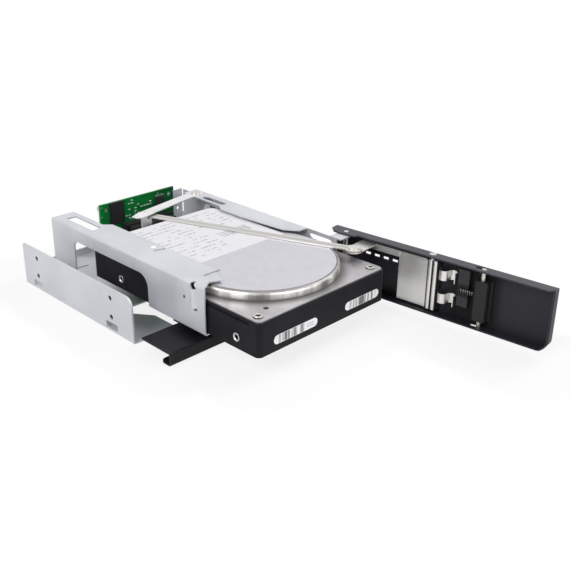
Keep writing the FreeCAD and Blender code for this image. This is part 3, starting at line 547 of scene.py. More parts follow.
@dataclass(frozen=True)
class BlockMoulding(Moulding):
    """Moulding of the latch block, with painted shade between the heights of a recess."""

    name: str = "latch_block_moulding"
    low: Colour = (0.020, 0.020, 0.024)
    high: Colour = (0.030, 0.030, 0.036)
    recess: Span = (0.0, 0.0)
    # Painted shade in the pocket round the coil.
    deep: Colour = (0.0008, 0.0008, 0.001)

    def covered(self, graph: Graph, colour: Socket, roughness: Value) -> tuple[Socket, Value]:
        """Adds the painted shade of the recess."""
        # Painted shade between the recess heights.
        return graph.tint(graph.height().between(*self.recess), colour, self.deep), roughness


@dataclass(frozen=True)
class Casting(Skin):
    """Black-coated casting of the drive with a coarse skin."""

    name: str = "black_casting"
    low: Colour = (0.0110, 0.0105, 0.0135)
    high: Colour = (0.0145, 0.0138, 0.0170)
    roughness: float = 0.40
    broad: Noise = Noise(90.0, 3.0, spread=CLOUDY)
    fine: Noise = Noise(1100.0, 4.0, 0.16)
    relief: float = 3.5e-5
    specular: float = 0.10


@dataclass(frozen=True)
class LinkStrip:
    """Rolled steel strip with a shallow trough along its middle, which carries painted shade."""

    end: Vector
    degrees: float
    colour: Colour = (0.64, 0.625, 0.60)
    # Painted shade of the trough along the middle, in a darker and a lighter tone.
    channel_shade: Colour = (0.44, 0.425, 0.405)
    channel_shade_light: Colour = (0.506, 0.48875, 0.46575)
    channel_side: float = 0.4 * MM
    channel_half: float = 0.9 * MM
    channel_fade: float = 0.5 * MM
    channel_depth: float = 1.5e-4
    relief_share: float = 0.6
    metallic: float = 0.85
    roughness: float = 0.24
    streak: Noise = Noise(620.0, 3.0, 0.12, (0.03, 1.0, 1.0))
    streak_relief: float = 0.05
    flank_least: float = 0.75

    def material(self) -> Material:
        """Builds the finish: the distance across the strip decides between the shaded trough and the flanks.

        Returns:
            The material.
        """
        graph = Graph.named("link_strip")
        along = graph.moved(self.end, self.degrees)
        across = abs(graph.axes(along)[1] - self.channel_side)
        flank = across.ramp(self.channel_half, self.channel_half + self.channel_fade)
        streak = self.streak.on(graph, along)
        # Painted shade in the trough.
        shade = graph.tint(streak, self.channel_shade, self.channel_shade_light)
        relief = flank + self.streak_relief * streak
        return graph.close(
            Base_Color=graph.tint(flank * streak.at_least(self.flank_least), shade, self.colour),
            Metallic=self.metallic,
            Roughness=self.roughness + self.streak.rough * streak,
            Normal=graph.bump(relief, self.channel_depth, self.relief_share),
        )


@dataclass(frozen=True)
class BeadedPlate:
    """Polished bracket plate, with painted shade in the grooves beside its rolled beads."""

    hinge: Vector
    degrees: float
    colour: Colour = (0.88, 0.865, 0.845)
    shade: Colour = (0.72, 0.71, 0.695)
    # Painted shade in the grooves beside the beads.
    groove_shade: Colour = (0.035, 0.033, 0.03)
    grooves: tuple[float, ...] = (56.9 * MM, 60.2 * MM, 63.5 * MM)
    groove_half: float = 0.45 * MM
    groove_fade: float = 0.35 * MM
    metallic: float = 0.70
    roughness: float = 0.27
    streak: Noise = Noise(500.0, 3.0, 0.06, (1.0, 1.0, 0.04))
    cloud: Noise = Noise(30.0, 2.0, 0.05, (1.0, 1.0, 0.7), (0.35, 0.65))
    cloud_share: float = 0.85

    def material(self) -> Material:
        """Builds the finish: the distance along the door to the nearest of the grooves decides how much
        painted shade it gets.

        Returns:
            The material.
        """
        graph = Graph.named("bracket_plate")
        along = graph.axes(graph.moved(self.hinge, self.degrees))[0]
        nearest = reduce(Value.smaller, (abs(along - station) for station in self.grooves))
        # Zero in the grooves, where the painted shade lies.
        open_face = nearest.ramp(self.groove_half, self.groove_half + self.groove_fade)
        streak, cloud = self.streak.on(graph), self.cloud.on(graph)
        bright = graph.tint(cloud.mixed(self.cloud_share, streak), self.shade, self.colour)
        return graph.close(
            Base_Color=graph.tint(open_face, self.groove_shade, bright),
            Metallic=self.metallic,
            Roughness=self.roughness + self.streak.rough * streak + self.cloud.rough * cloud,
        )


@dataclass(frozen=True)
class CoverMetal:
    """Drive lid: satin dome with a dark seam inside its rim, a wall round it and plate below; the wall and
    the plate next to it carry painted reflection, and the dome's front band painted shade.

    Lifts are heights above the plate, and drops are heights from the dome's top.
    """

    centre: Vector
    rim_r: float
    plate_drop: float
    satin: Colour = (0.56, 0.553, 0.60)
    satin_light: Colour = (0.588, 0.58065, 0.63)
    # This and the next colour are the wall's painted reflection, light and dark.
    bright: Colour = (0.92, 0.90, 0.865)
    reflection_dark: Colour = (0.34, 0.33, 0.31)
    plate: Colour = (0.50, 0.485, 0.505)
    # Painted reflection: dark band of the plate next to the wall.
    plate_reflection: Colour = (0.12, 0.115, 0.11)
    plate_least: float = 0.85
    # Painted shade on the front of the dome outside the seam.
    edge: Colour = (0.24, 0.235, 0.225)
    seam: Colour = (0.06, 0.055, 0.05)
    seam_width: float = 0.5 * MM
    seam_inset: float = 2.0 * MM
    seam_back: float = 12.0 * MM
    seam_drop: float = -0.3 * MM
    # Reach of the plate's painted reflection from the wall.
    near_reach: float = 8.0 * MM
    raised_lift: Span = (0.1 * MM, 0.4 * MM)
    # Heights of the painted shade at the wall's foot.
    foot_lift: Span = (0.2 * MM, 1.4 * MM)
    foot_least: float = 0.35
    wall_drop: Span = (-1.2 * MM, -0.25 * MM)
    # Heights where the wall's painted reflection turns dark at its top.
    shoulder_drop: Span = (-0.9 * MM, -0.2 * MM)
    grain: Noise = Noise(900.0, 2.0, 0.08)
    cloud: Noise = Noise(160.0, 3.0, spread=CLOUDY)
    # Sets the wall's painted reflection by direction round the dome.
    reflection_sector: Noise = Noise(5.0, 3.0, stretch=(1.0, 1.0, 0.0), spread=(0.36, 0.62))
    metallic: float = 0.80
    seam_dull: float = 0.5
    near_dull: float = 0.6
    roughness: float = 0.33
    wall_smooth: float = 0.04
    edge_rough: float = 0.08
    seam_rough: float = 0.3
    near_rough: float = 0.2

    def material(self) -> Material:
        """Builds the finish.

        The height below the dome's top tells dome, wall and plate apart. The seam lies where the
        distance from the dome's centre is near the rim's radius less its inset. The wall's colour is a
        painted reflection that changes with the direction from that centre, with painted shade at its
        foot and at its top; the plate next to the wall has a dark painted reflection, and the front of
        the dome outside the seam has painted shade.

        Returns:
            The material.
        """
        graph = Graph.named("cover_metal")
        x, y, z = graph.axes(graph.moved(self.centre))
        distance = (x * x + y * y).root()
        lift = z + self.plate_drop
        raised = lift.ramp(*self.raised_lift)
        wall = raised * (1 - z.ramp(*self.wall_drop))
        inside = self.rim_r - self.seam_inset
        ring = abs(distance - inside) < self.seam_width / 2
        seam = ring * (z > self.seam_drop) * (y < self.seam_back)
        # Painted shade on the front of the dome outside the seam.
        edge = distance.ramp(inside, inside + self.seam_width) * (1 - y.ramp(0.0, self.seam_back)) * raised
        # Painted reflection on the plate next to the wall.
        away = (distance - self.rim_r).ramp(0.0, self.near_reach)
        beside = (1 - raised) * (1 - away)
        grain, cloud = self.grain.on(graph), self.cloud.on(graph)
        # Painted reflection on the wall, by direction, with painted shade at its foot and top.
        reflection_sector = self.reflection_sector.on(graph, graph.ways(x, y))
        foot = lift.ramp(*self.foot_lift).at_least(self.foot_least)
        wall_reflection = graph.tint(reflection_sector * foot * (1 - z.ramp(*self.shoulder_drop)), self.reflection_dark, self.bright)
        flat = graph.tint(away * cloud.at_least(self.plate_least), self.plate_reflection, self.plate)
        dome = graph.tint(cloud, self.satin, self.satin_light)
        skin = graph.tint(wall, graph.tint(edge, graph.tint(raised, flat, dome), self.edge), wall_reflection)
        metal_rough = self.roughness + self.grain.rough * grain * (1 - wall) - self.wall_smooth * wall
        # Rougher at the seam and where shade and reflection are painted.
        seam_and_shade_rough = self.edge_rough * edge + self.seam_rough * seam + self.near_rough * beside
        return graph.close(
            Base_Color=graph.tint(seam, skin, self.seam),
            Metallic=wall.at_least(self.metallic) - self.seam_dull * seam - self.near_dull * beside,
            Roughness=metal_rough + seam_and_shade_rough,
        )


@dataclass(frozen=True)
class ScrewHead:
    """Plated screw head, with painted shade in its socket and round its foot."""

    seat: float
    plated: Colour = (0.60, 0.59, 0.535)
    plated_least: float = 0.8
    # Painted shade for the socket and the foot.
    deep: Colour = (0.035, 0.034, 0.03)
    dark_below: float = 0.40 * MM
    fade: float = 0.18 * MM
    metallic: float = 0.9
    roughness: float = 0.24
    grain: Noise = Noise(1200.0, 2.0, 0.10)
    relief: float = 4e-6

    def material(self) -> Material:
        """Builds the finish: the height above the seat decides between the painted shade and the plated
        part.

        Returns:
            The material.
        """
        graph = Graph.named("screw_head")
        # Painted shade below this height above the seat, plated colour above it.
        lit = (graph.height() - self.seat).ramp(self.dark_below, self.dark_below + self.fade)
        grain = self.grain.on(graph)
        return graph.close(
            Base_Color=graph.tint(lit * grain.at_least(self.plated_least), self.deep, self.plated),
            Metallic=self.metallic,
            Roughness=self.roughness + self.grain.rough * grain,
            Normal=graph.bump(grain, self.relief),
        )


@dataclass(frozen=True)
class PrintedLabel:
    """White paper with faint grey print: rows of short strokes and a bar pattern, none of it readable.

    Blocks of print are spans of the label's width and depth, as shares of each.
    """

    low: Vector
    high: Vector
    paper: Colour = (0.80, 0.795, 0.825)
    paper_light: Colour = (0.84, 0.83475, 0.86625)
    ink: Colour = (0.30, 0.30, 0.325)
    ink_share: float = 0.6
    row_pitch: float = 4.6 * MM
    row_band: Span = (0.35, 0.68)
    word_pitch: float = 3.1 * MM
    word_gaps: float = 0.42
    stroke_pitch: float = 0.55 * MM
    stroke_gaps: float = 0.30
    stroke_seed: int = 40
    bar_pitch: float = 0.62 * MM
    bar_gaps: float = 0.5
    left_block: Block = ((0.08, 0.52), (0.10, 0.92))
    right_block: Block = ((0.58, 0.92), (0.56, 0.92))
    bar_block: Block = ((0.60, 0.90), (0.30, 0.42))
    specular: float = 0.35
    roughness: float = 0.42
    fibre: Noise = Noise(1500.0, 3.0, 0.12)
    relief: float = 4e-6

    def _inside(self, x: Value, y: Value, block: Block) -> Value:
        """One inside a block of print, else zero.

        Args:
            x: Distance from the label's left edge.
            y: Distance from its front edge.
            block: The block's spans.

        Returns:
            The mask.
        """
        width, depth = self.high.x - self.low.x, self.high.y - self.low.y
        (left, right), (front, back) = block
        return x.between(left * width, right * width) * y.between(front * depth, back * depth)

    def material(self) -> Material:
        """Builds the finish.

        Each row is a thin band of cells; a cell is inked where its random number is high. The bar
        pattern inks thin upright cells the same way, inside one rectangle.

        Returns:
            The material.
        """
        graph = Graph.named("printed_label")
        x, y, _ = graph.axes(graph.moved(self.low))
        rows = y / self.row_pitch
        row = rows.floor()
        word = graph.dice((x / self.word_pitch).floor(), row) > self.word_gaps
        stroke = graph.dice((x / self.stroke_pitch).floor(), row + self.stroke_seed) > self.stroke_gaps
        words = rows.fraction().between(*self.row_band) * word * stroke
        left, right = (self._inside(x, y, block) for block in (self.left_block, self.right_block))
        bar = graph.dice((x / self.bar_pitch).floor()) > self.bar_gaps
        ink = (words * left.larger(right)).larger(bar * self._inside(x, y, self.bar_block))
        fibre = self.fibre.on(graph)
        tone = graph.tint(fibre, self.paper, self.paper_light)
        return graph.close(
            Base_Color=graph.tint(ink * self.ink_share, tone, self.ink),
            Specular_IOR_Level=self.specular,
            Roughness=self.roughness + self.fibre.rough * fibre,
            Normal=graph.bump(fibre, self.relief),
        )


@dataclass(frozen=True)
class BarSticker:
    """White stickers with a generic bar pattern and, on the longer one, two short rows of strokes.

    Spans run along X. The reach of the bars and the rows' place are shares of the half height.
    """

    centre_z: float
    half_height: float
    bar_spans: tuple[Span, ...] = ((-36.5 * MM, -17.5 * MM), (19.0 * MM, 42.5 * MM))
    bar_pitch: float = 0.45 * MM
    bar_gaps: float = 0.52
    bar_reach: float = 0.94
    row_span: Span = (-15.5 * MM, -10.0 * MM)
    row_place: float = 0.28
    row_half: float = 0.09
    row_share: float = 0.6
    paper: Colour = (0.96, 0.96, 0.975)
    ink: Colour = (0.06, 0.06, 0.065)
    ink_share: float = 0.85
    specular: float = 0.35
    roughness: float = 0.40
    fibre: Noise = Noise(1700.0, 2.0, 0.10)
    relief: float = 3e-6

    def material(self) -> Material:
        """Builds the finish: upright cells along X, inked where their random number is high.

        Returns:
            The material.
        """
        graph = Graph.named("bar_sticker")
        x, _, z = graph.axes(graph.moved(Vector((0.0, 0.0, self.centre_z))))
        height = abs(z)
        bar = graph.dice((x / self.bar_pitch).floor()) > self.bar_gaps
        first, second = (x.between(*span) for span in self.bar_spans)
        bars = bar * first.larger(second) * (height < self.bar_reach * self.half_height)
        in_row = abs(height - self.row_place * self.half_height) < self.row_half * self.half_height
        ink = bars.larger(x.between(*self.row_span) * in_row * self.row_share)
        fibre = self.fibre.on(graph)
        return graph.close(
            Base_Color=graph.tint(ink * self.ink_share, self.paper, self.ink),
            Specular_IOR_Level=self.specular,
            Roughness=self.roughness + self.fibre.rough * fibre,
            Normal=graph.bump(fibre, self.relief),
        )


@dataclass(frozen=True)
class SolderMask:
    """Green circuit board with raised tracks and bright pads, darker towards one end."""

    name: str
    across: tuple[int, int]
    darkening: Span
    mask: Colour = (0.0016, 0.190, 0.033)
    shade: Colour = (0.0012, 0.085, 0.018)
    track: Colour = (0.004, 0.270, 0.055)
    track_pitch: float = 1.3 * MM
    track_half: float = 0.26
    track_gaps: float = 0.35
    track_share: float = 0.5
    track_relief: float = 0.6
    run: Noise = Noise(70.0, 2.0, spread=(0.40, 0.52))
    pad: Colour = (0.62, 0.61, 0.54)
    pad_pitch: float = 3.4 * MM
    pad_r: float = 0.15
    pad_gaps: float = 0.88
    pad_metallic: float = 0.8
    specular: float = 0.12
    roughness: float = 0.36
    weave: Noise = Noise(900.0, 2.0, 0.10)
    weave_relief: float = 0.15
    relief: float = 3e-5

    def material(self) -> Material:
        """Builds the finish.

        Tracks run along one axis in lanes whose random number is high, broken by cloudy noise. Pads
        are discs at the middle of the cells whose random number is highest.

        Returns:
            The material.
        """
        graph = Graph.named(self.name)
        axes = graph.axes(graph.place())
        u, v = (axes[index] for index in self.across)
        lanes = v / self.track_pitch
        in_lane = abs(lanes.fraction() - 0.5) < self.track_half
        tracks = in_lane * (graph.dice(lanes.floor()) > self.track_gaps) * self.run.on(graph)
        columns, rows = u / self.pad_pitch, v / self.pad_pitch
        du, dv = columns.fraction() - 0.5, rows.fraction() - 0.5
        spot = (du * du + dv * dv).root()
        pads = (spot < self.pad_r) * (graph.dice(columns.floor(), rows.floor()) > self.pad_gaps)
        weave = self.weave.on(graph)
        ground = graph.tint(u.ramp(*self.darkening), self.mask, self.shade)
        green = graph.tint(tracks * self.track_share, ground, self.track)
        relief = tracks * self.track_relief + pads + self.weave_relief * weave
        return graph.close(
            Base_Color=graph.tint(pads, green, self.pad),
            Metallic=pads * self.pad_metallic,
            Specular_IOR_Level=self.specular,
            Roughness=self.roughness + self.weave.rough * weave,
            Normal=graph.bump(relief, self.relief),
        )


class Finish:
    """The finishes shared by the sub-assemblies, made once."""

    def __init__(self) -> None:
        """Makes the shared materials."""
        upright = Noise(500.0, 3.0, 0.10, (1.0, 1.0, 0.04))
        turned = Noise(2400.0, 3.0, 0.10, (0.02, 1.0, 1.0))
        self.zinc = ZincSheet().material()
        # Darker zinc for the flange lances: painted shade of their creases.
        self.shaded_lance = ZincSheet(
            "lanced_edge", (0.24, 0.25, 0.27), (0.30, 0.31, 0.33), 0.55, metallic=0.2
        ).material()
        self.coat = PowderCoat().material()
        self.steel = Steel("bright_steel", (0.55, 0.535, 0.51), (0.68, 0.665, 0.64), 0.24).material()
        self.lever = Steel("lever_steel", (0.68, 0.67, 0.68), (0.80, 0.79, 0.80), 0.32).material()
        self.polished = Steel(
            "polished_steel", (0.70, 0.685, 0.66), (0.84, 0.825, 0.80), 0.26, fine=upright
        ).material()
        self.gold = Steel("contact_gold", (0.66, 0.46, 0.17), (0.78, 0.56, 0.22), 0.22).material()
        self.tin = Steel("tinned_ends", (0.62, 0.62, 0.62), (0.76, 0.76, 0.75), 0.26).material()
        self.wire = Steel("spring_wire", (0.10, 0.10, 0.105), (0.17, 0.17, 0.175), 0.26).material()
        # Near black thread: painted shade inside the rail holes.
        self.thread = Steel(
            "cut_thread", (0.05, 0.05, 0.055), (0.10, 0.10, 0.105), 0.45, fine=turned
        ).material()
        self.plastic = Moulding("black_moulding", (0.008, 0.008, 0.009), (0.012, 0.012, 0.0135)).material()
        self.ceramic = Moulding(
            "chip_moulding", (0.012, 0.012, 0.013), (0.018, 0.018, 0.0195), 0.42
        ).material()
        self.pale = Moulding("pale_parts", (0.62, 0.61, 0.57), (0.93, 0.915, 0.855), 0.38).material()


def wear(node: bpy.types.Object, material: Material) -> None:
    """Puts a material on every slot of a CAD node or new piece.

    Args:
        node: The object.
        material: Its finish.
    """
    if not node.data.materials:
        node.data.materials.append(material)
    for index in range(len(node.data.materials)):
        node.data.materials[index] = material


def placed(name: str, data: bpy.types.ID) -> bpy.types.Object:
    """Puts a new object in the scene.

    Args:
        name: The object's name.
        data: Its mesh, lamp or camera.

    Returns:
        The object, at the origin.
    """
    made = bpy.data.objects.new(name, data)
    bpy.context.scene.collection.objects.link(made)
    return made


def centre_of(box: Box) -> Vector:
    """Middle of a box."""
    return (box[0] + box[1]) / 2


def sheet_faces(rows: int, columns: int, start: int, wrap_rows: bool, wrap_columns: bool) -> np.ndarray:
    """Quads of a grid of points, worked out from whole index arrays.

    Args:
        rows: Points along the first parameter.
        columns: Points along the second parameter.
        start: Index of the grid's first point.
        wrap_rows: Whether the last row joins the first.
        wrap_columns: Whether the last column joins the first.

    Returns:
        One row of four indices for each face.
    """
    i = np.arange(rows if wrap_rows else rows - 1)[:, None]
    j = np.arange(columns if wrap_columns else columns - 1)[None, :]
    i1, j1 = (i + 1) % rows, (j + 1) % columns
    quad = (i * columns + j, i1 * columns + j, i1 * columns + j1, i * columns + j1)
    return start + np.stack(quad, axis=-1).reshape(-1, 4)


def piece(name: str, grids: list[Grid], body: Body, material: Material) -> bpy.types.Object:
    """Makes one smooth mesh object from grids of points and lets it ride on a body.

    Args:
        name: The piece's name.
        grids: Arrays of points with shape (rows, columns, 3) and whether rows and columns close.
        body: The body it moves with.
        material: Its finish.

    Returns:
        The object, at the origin.
    """
    points, faces, start = [], [], 0
    for grid, wrap_rows, wrap_columns in grids:
        rows, columns = grid.shape[:2]
        points.append(grid.reshape(-1, 3))
        faces.append(sheet_faces(rows, columns, start, wrap_rows, wrap_columns))
        start += rows * columns
    mesh = bpy.data.meshes.new(name)
    mesh.from_pydata(np.concatenate(points).tolist(), [], np.concatenate(faces).tolist())
    mesh.polygons.foreach_set("use_smooth", np.ones(len(mesh.polygons), bool))
    mesh.update()
    merge_points(mesh)
    made = placed(name, mesh)
    wear(made, material)
    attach(made, body.value)
    LOG.info("%s: %d faces", name, len(mesh.polygons))
    return made


def merge_points(mesh: bpy.types.Mesh) -> None:
    """Merges points that meet at seams and poles and turns the faces outwards.

    Args:
        mesh: The mesh to clean.
    """
    work = bmesh.new()
    work.from_mesh(mesh)
    bmesh.ops.remove_doubles(work, verts=work.verts, dist=SAME_PLACE)
    bmesh.ops.dissolve_degenerate(work, dist=SAME_PLACE / 10, edges=work.edges)
    bmesh.ops.recalc_face_normals(work, faces=work.faces)
    work.to_mesh(mesh)
    work.free()


def revolved(profile: np.ndarray, centre: Vector, axis: Triple, around: int) -> np.ndarray:
    """Surface of revolution: each profile point (radius, height) is carried round the axis.

    Args:
        profile: Radii and heights, in metres.
        centre: Where height is zero.
        axis: Direction of height, of length one.
        around: Points round the axis.

    Returns:
        Points with shape (profile, around, 3).
    """
    up = np.array(axis, float)
    side = np.cross(up, UP if up[2] == 0 else (1.0, 0.0, 0.0))
    other = np.cross(up, side)
    angle = np.linspace(0.0, TURN, around, endpoint=False)
    ring = np.cos(angle)[:, None] * side + np.sin(angle)[:, None] * other
    return np.array(centre) + profile[:, :1, None] * ring[None] + profile[:, 1:, None] * up


def rounded_block(low: Vector, high: Vector, edge: float, rows: int = COARSE) -> Grid:
    """Block with rounded upright edges and a softened top and bottom, as stacked rounded rectangles.

    Each level is the rectangle's corner circles; the radius shrinks by a quarter circle near both ends.

    Args:
        low: Lowest corner.
        high: Highest corner.
        edge: Edge radius.
        rows: Points in each rounded corner.

    Returns:
        Points with shape (levels, around, 3), closed by poles at both ends.
    """
    half = (np.array(high) - np.array(low)) / 2
    middle = (np.array(high) + np.array(low)) / 2
    quarter = np.linspace(0.0, math.pi / 2, rows)
    fall, rise = edge * (1 - np.sin(quarter)), edge * (1 - np.cos(quarter))
    shrink = np.concatenate([fall, rise])
    height = np.concatenate([-half[2] + rise, half[2] - fall])
    angle = (quarter[None, :] + np.arange(4)[:, None] * math.pi / 2).reshape(-1)
    sign_x = np.repeat([1.0, -1.0, -1.0, 1.0], rows)
    sign_y = np.repeat([1.0, 1.0, -1.0, -1.0], rows)
    x = sign_x * (half[0] - edge) + (edge - shrink)[:, None] * np.cos(angle)
    y = sign_y * (half[1] - edge) + (edge - shrink)[:, None] * np.sin(angle)
    z = np.broadcast_to(height[:, None], x.shape)
    levels = np.stack([x, y, z], axis=-1)
    bottom, top = (np.broadcast_to((0.0, 0.0, end), levels[:1].shape) for end in (-half[2], half[2]))
    return closed(middle + np.concatenate([bottom, levels, top]))


def tube(path: np.ndarray, radius: float, around: int = 10) -> Grid:
    """Round tube along a path: a circle carried across the path's tangent at each point, with closed ends.

    Args:
        path: Points of the centre line.
        radius: Tube radius.
        around: Points round the tube.

    Returns:
        Points with shape (path + 2, around, 3), closed by poles at both ends.
    """
    tangent = np.gradient(path, axis=0)
    tangent /= np.linalg.norm(tangent, axis=1, keepdims=True)
    side = np.cross(tangent, UP)
    side /= np.linalg.norm(side, axis=1, keepdims=True)
    other = np.cross(tangent, side)
    angle = np.linspace(0.0, TURN, around, endpoint=False)
    ring = np.cos(angle)[None, :, None] * side[:, None] + np.sin(angle)[None, :, None] * other[:, None]
    skin = path[:, None] + radius * ring
    first, last = (np.broadcast_to(end, skin[:1].shape) for end in (path[0], path[-1]))
    return closed(np.concatenate([first, skin, last]))


def closed(grid: np.ndarray) -> Grid:
    """A grid that closes round its columns and ends in poles."""
    return grid, False, True


def looped(grid: np.ndarray) -> Grid:
    """A grid that closes round its columns and joins its last row to its first."""
    return grid, True, True


@dataclass
class SubAssembly:
    """A group of CAD nodes that belong together, with the new pieces beside them."""

    frame: dict
    finish: Finish

    def build(self) -> None:
        """Makes the new pieces: none where the solids show all there is."""

    def finishes(self) -> dict[str, Material]:
        """Finish of each node, by the node's name: none on a plain group."""
        return {}

    def dress(self) -> None:
        """Puts each node's finish on it."""
        for name, material in self.finishes().items():
            wear(self.frame["nodes"][name], material)
            LOG.info("%s wears %s", name, material.name)


@dataclass
class Rack(SubAssembly):
    """The fixed part: tray, cage walls, trim, and the board with its sockets."""

    board_dark: float = 0.35
    chip_edge: float = 0.35 * MM
    chip_rows: int = 6
    lead_count: int = 8
    lead_half: float = 0.17 * MM
    lead_rise: float = 0.35 * MM
    lead_out: float = 0.9 * MM
    lead_edge: float = 0.08 * MM
    part_seed: int = 11
    part_tries: int = 30
    part_grid: Span = (2.6 * MM, 2.1 * MM)
    part_margin: float = 2.0 * MM
    part_half: Span = (0.55 * MM, 0.34 * MM)
    part_height: float = 0.5 * MM
    part_edge: float = 0.10 * MM
    end_out: float = 0.70 * MM
    end_half: Span = (0.18 * MM, 0.37 * MM)
    end_height: float = 0.55 * MM
    end_edge: float = 0.08 * MM
    contacts: tuple[tuple[str, int], ...] = (("data_port", 7), ("power_port", 15))
    contact_width: float = 0.75 * MM
    contact_share: float = 0.55
    contact_lift: float = 0.06 * MM
    contact_edge: float = 0.02 * MM
    contact_rise: float = 0.55 * MM
    contact_margin: float = 3.2 * MM
    contact_front: float = 1.2 * MM
    contact_back: float = 1.3 * MM
    rivet_spot: Span = (-36.6 * MM, -32.6 * MM)
    rivet_r: float = 1.1 * MM
    rivet_height: float = 0.5 * MM
    rivet_rows: int = 8
    rivet_around: int = 28
    rim_r: float = 1.8 * MM
    rim_height: float = 0.2 * MM
    rim_side: float = 0.12 * MM
    rim_slope: float = 0.15 * MM
    lances: tuple[Block, ...] = (
        ((-40.0 * MM, -37.9 * MM), (-33.2 * MM, -39.9 * MM)),
        ((-42.0 * MM, -85.2 * MM), (-31.0 * MM, -85.2 * MM)),
    )
    lance_r: float = 0.42 * MM
    lance_steps: int = 6
    rail_hole_rows: tuple[float, ...] = (-39.625 * MM, 39.625 * MM)
    rail_hole_heights: tuple[float, ...] = (10.0 * MM, 21.84 * MM)
    rail_hole_r: float = 1.5 * MM
    rail_sheet: float = 1.0 * MM
    collar_wall: float = 0.45 * MM
    collar_length: float = 1.5 * MM
    collar_start: float = 0.3 * MM
    collar_gap: float = 0.02 * MM
    collar_around: int = 24
    thread_depth: float = 0.05 * MM
    thread_gap: float = 0.01 * MM

    def build(self) -> None:
        """Makes the pieces that the solids leave plain."""
        self._chip()
        self._small_parts()
        for port, count in self.contacts:
            self._port_contacts(port, count)
        self._flange_rivet()
        self._flange_lance()
        self._rail_collars()

    def finishes(self) -> dict[str, Material]:
        """Finish of each node.

        Returns:
            The finishes by the nodes' names.
        """
        finish = self.finish
        low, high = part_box("backplane_board")
        darkening = (low.x + self.board_dark * (high.x - low.x), high.x)
        groups = {
            finish.zinc: ("base_tray", "left_side_wall", "right_side_wall", "rear_plate"),
            finish.steel: (
                "chassis_rivets", "trim_rivets", "hinge_pin", "lever_rivet", "board_spacers", "board_screws",
            ),
            finish.plastic: ("drive_socket", "data_port", "power_port", "board_tape"),
            finish.coat: ("front_trim",),
            SolderMask("board_mask", (0, 2), darkening).material(): ("backplane_board",),
        }
        return {name: material for material, names in groups.items() for name in names}

    def _chip_box(self) -> Box:
        """Corners of the square chip at the right end of the board's parts."""
        low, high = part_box("board_parts")
        return Vector((high.x - (high.z - low.z), low.y, low.z)), high

    def _chip(self) -> None:
        """Chip with its leads, in the place of the plain block: rounded blocks along two edges."""
        low, high = self._chip_box()
        block = rounded_block(low, high, self.chip_edge, self.chip_rows)
        body = piece("board_chip", [block], Body.FRAME, self.finish.ceramic)
        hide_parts("board_parts")
        half, out, back = self.lead_half, self.lead_out, high.y - self.lead_rise
        leads = [
            rounded_block(Vector((x - half, back, z0)), Vector((x + half, high.y, z1)), self.lead_edge)
            for z0, z1 in ((low.z - out, low.z + half), (high.z - half, high.z + out))
            for x in np.linspace(low.x + out, high.x - out, self.lead_count)
        ]
        piece("board_chip_leads", leads, Body.FRAME, self.finish.tin)

    def _small_parts(self) -> None:
        """Small two-ended parts on a loose grid between the tape and the chip, above the socket."""
        board_low, board_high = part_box("backplane_board")
        margin = self.part_margin
        left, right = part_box("board_tape")[1].x + margin, self._chip_box()[0].x - margin
        bottom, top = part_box("drive_socket")[1].z + margin, board_high.z - margin
        random = np.random.default_rng(self.part_seed)
        pick = random.uniform((left, bottom), (right, top), (self.part_tries, 2))
        spots = np.unique(np.round(pick / self.part_grid) * self.part_grid, axis=0)
        bodies, ends = [], []
        for x, z in spots:
            middle = Vector((x, board_low.y, z))
            bodies.append(self._on_board(middle, self.part_half, self.part_height, self.part_edge))
            for out in (-self.end_out, self.end_out):
                cap = middle + Vector((out, 0.0, 0.0))
                ends.append(self._on_board(cap, self.end_half, self.end_height, self.end_edge))
        piece("board_part_bodies", bodies, Body.FRAME, self.finish.pale)
        piece("board_part_ends", ends, Body.FRAME, self.finish.tin)

    @staticmethod
    def _on_board(spot: Vector, half: Span, height: float, edge: float) -> Grid:
        """Block that stands on the board's front, given half its width and depth, its height and edge."""
        reach = Vector((half[0], 0.0, half[1]))
        return rounded_block(spot - reach - Vector((0.0, height, 0.0)), spot + reach, edge)

    def _port_contacts(self, port: str, count: int) -> None:
        """Row of gold strips on the tongue of one rear port.

        Args:
            port: The port's node.
            count: Number of strips.
        """
        low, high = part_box(port)
        bottom = (low.z + high.z) / 2 + self.contact_rise
        top = bottom + self.contact_lift
        front, back = low.y + self.contact_front, high.y - self.contact_back
        at = np.linspace(low.x + self.contact_margin, high.x - self.contact_margin, count)
        half = min(self.contact_width, self.contact_share * (at[1] - at[0])) / 2
        strips = []
        for x in at:
            near, far = Vector((x - half, front, bottom)), Vector((x + half, back, top))
            strips.append(rounded_block(near, far, self.contact_edge))
        piece(f"{port}_contacts", strips, Body.FRAME, self.finish.gold)

    def _flange_rivet(self) -> None:
        """Rivet on the left flange: a quarter-circle dome on a low rim, carried round the vertical."""
        angle = np.linspace(0.0, math.pi / 2, self.rivet_rows)
        bulge = self.rivet_height - self.rim_height
        dome = np.stack([self.rivet_r * np.cos(angle), self.rim_height + bulge * np.sin(angle)], axis=1)
        rim = [
            (0.0, 0.0), (self.rim_r, 0.0), (self.rim_r, self.rim_side),
            (self.rim_r - self.rim_slope, self.rim_height),
        ]
        spot = Vector((*self.rivet_spot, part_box("left_side_wall")[1].z))
        head = closed(revolved(np.concatenate([rim, dome]), spot, UP, self.rivet_around))
        piece("flange_rivet", [head], Body.FRAME, self.finish.polished)

    def _flange_lance(self) -> None:
        """Lanced ridges on the left flange: round bars half sunk in the sheet, in darker zinc as painted
        shade.
        """
        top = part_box("left_side_wall")[1].z
        along = np.linspace(0.0, 1.0, self.lance_steps)[:, None]
        bars = []
        for first, last in self.lances:
            start, end = np.array((*first, top)), np.array((*last, top))
            bars.append(tube(start + along * (end - start), self.lance_r))
        piece("flange_lance", bars, Body.FRAME, self.finish.shaded_lance)

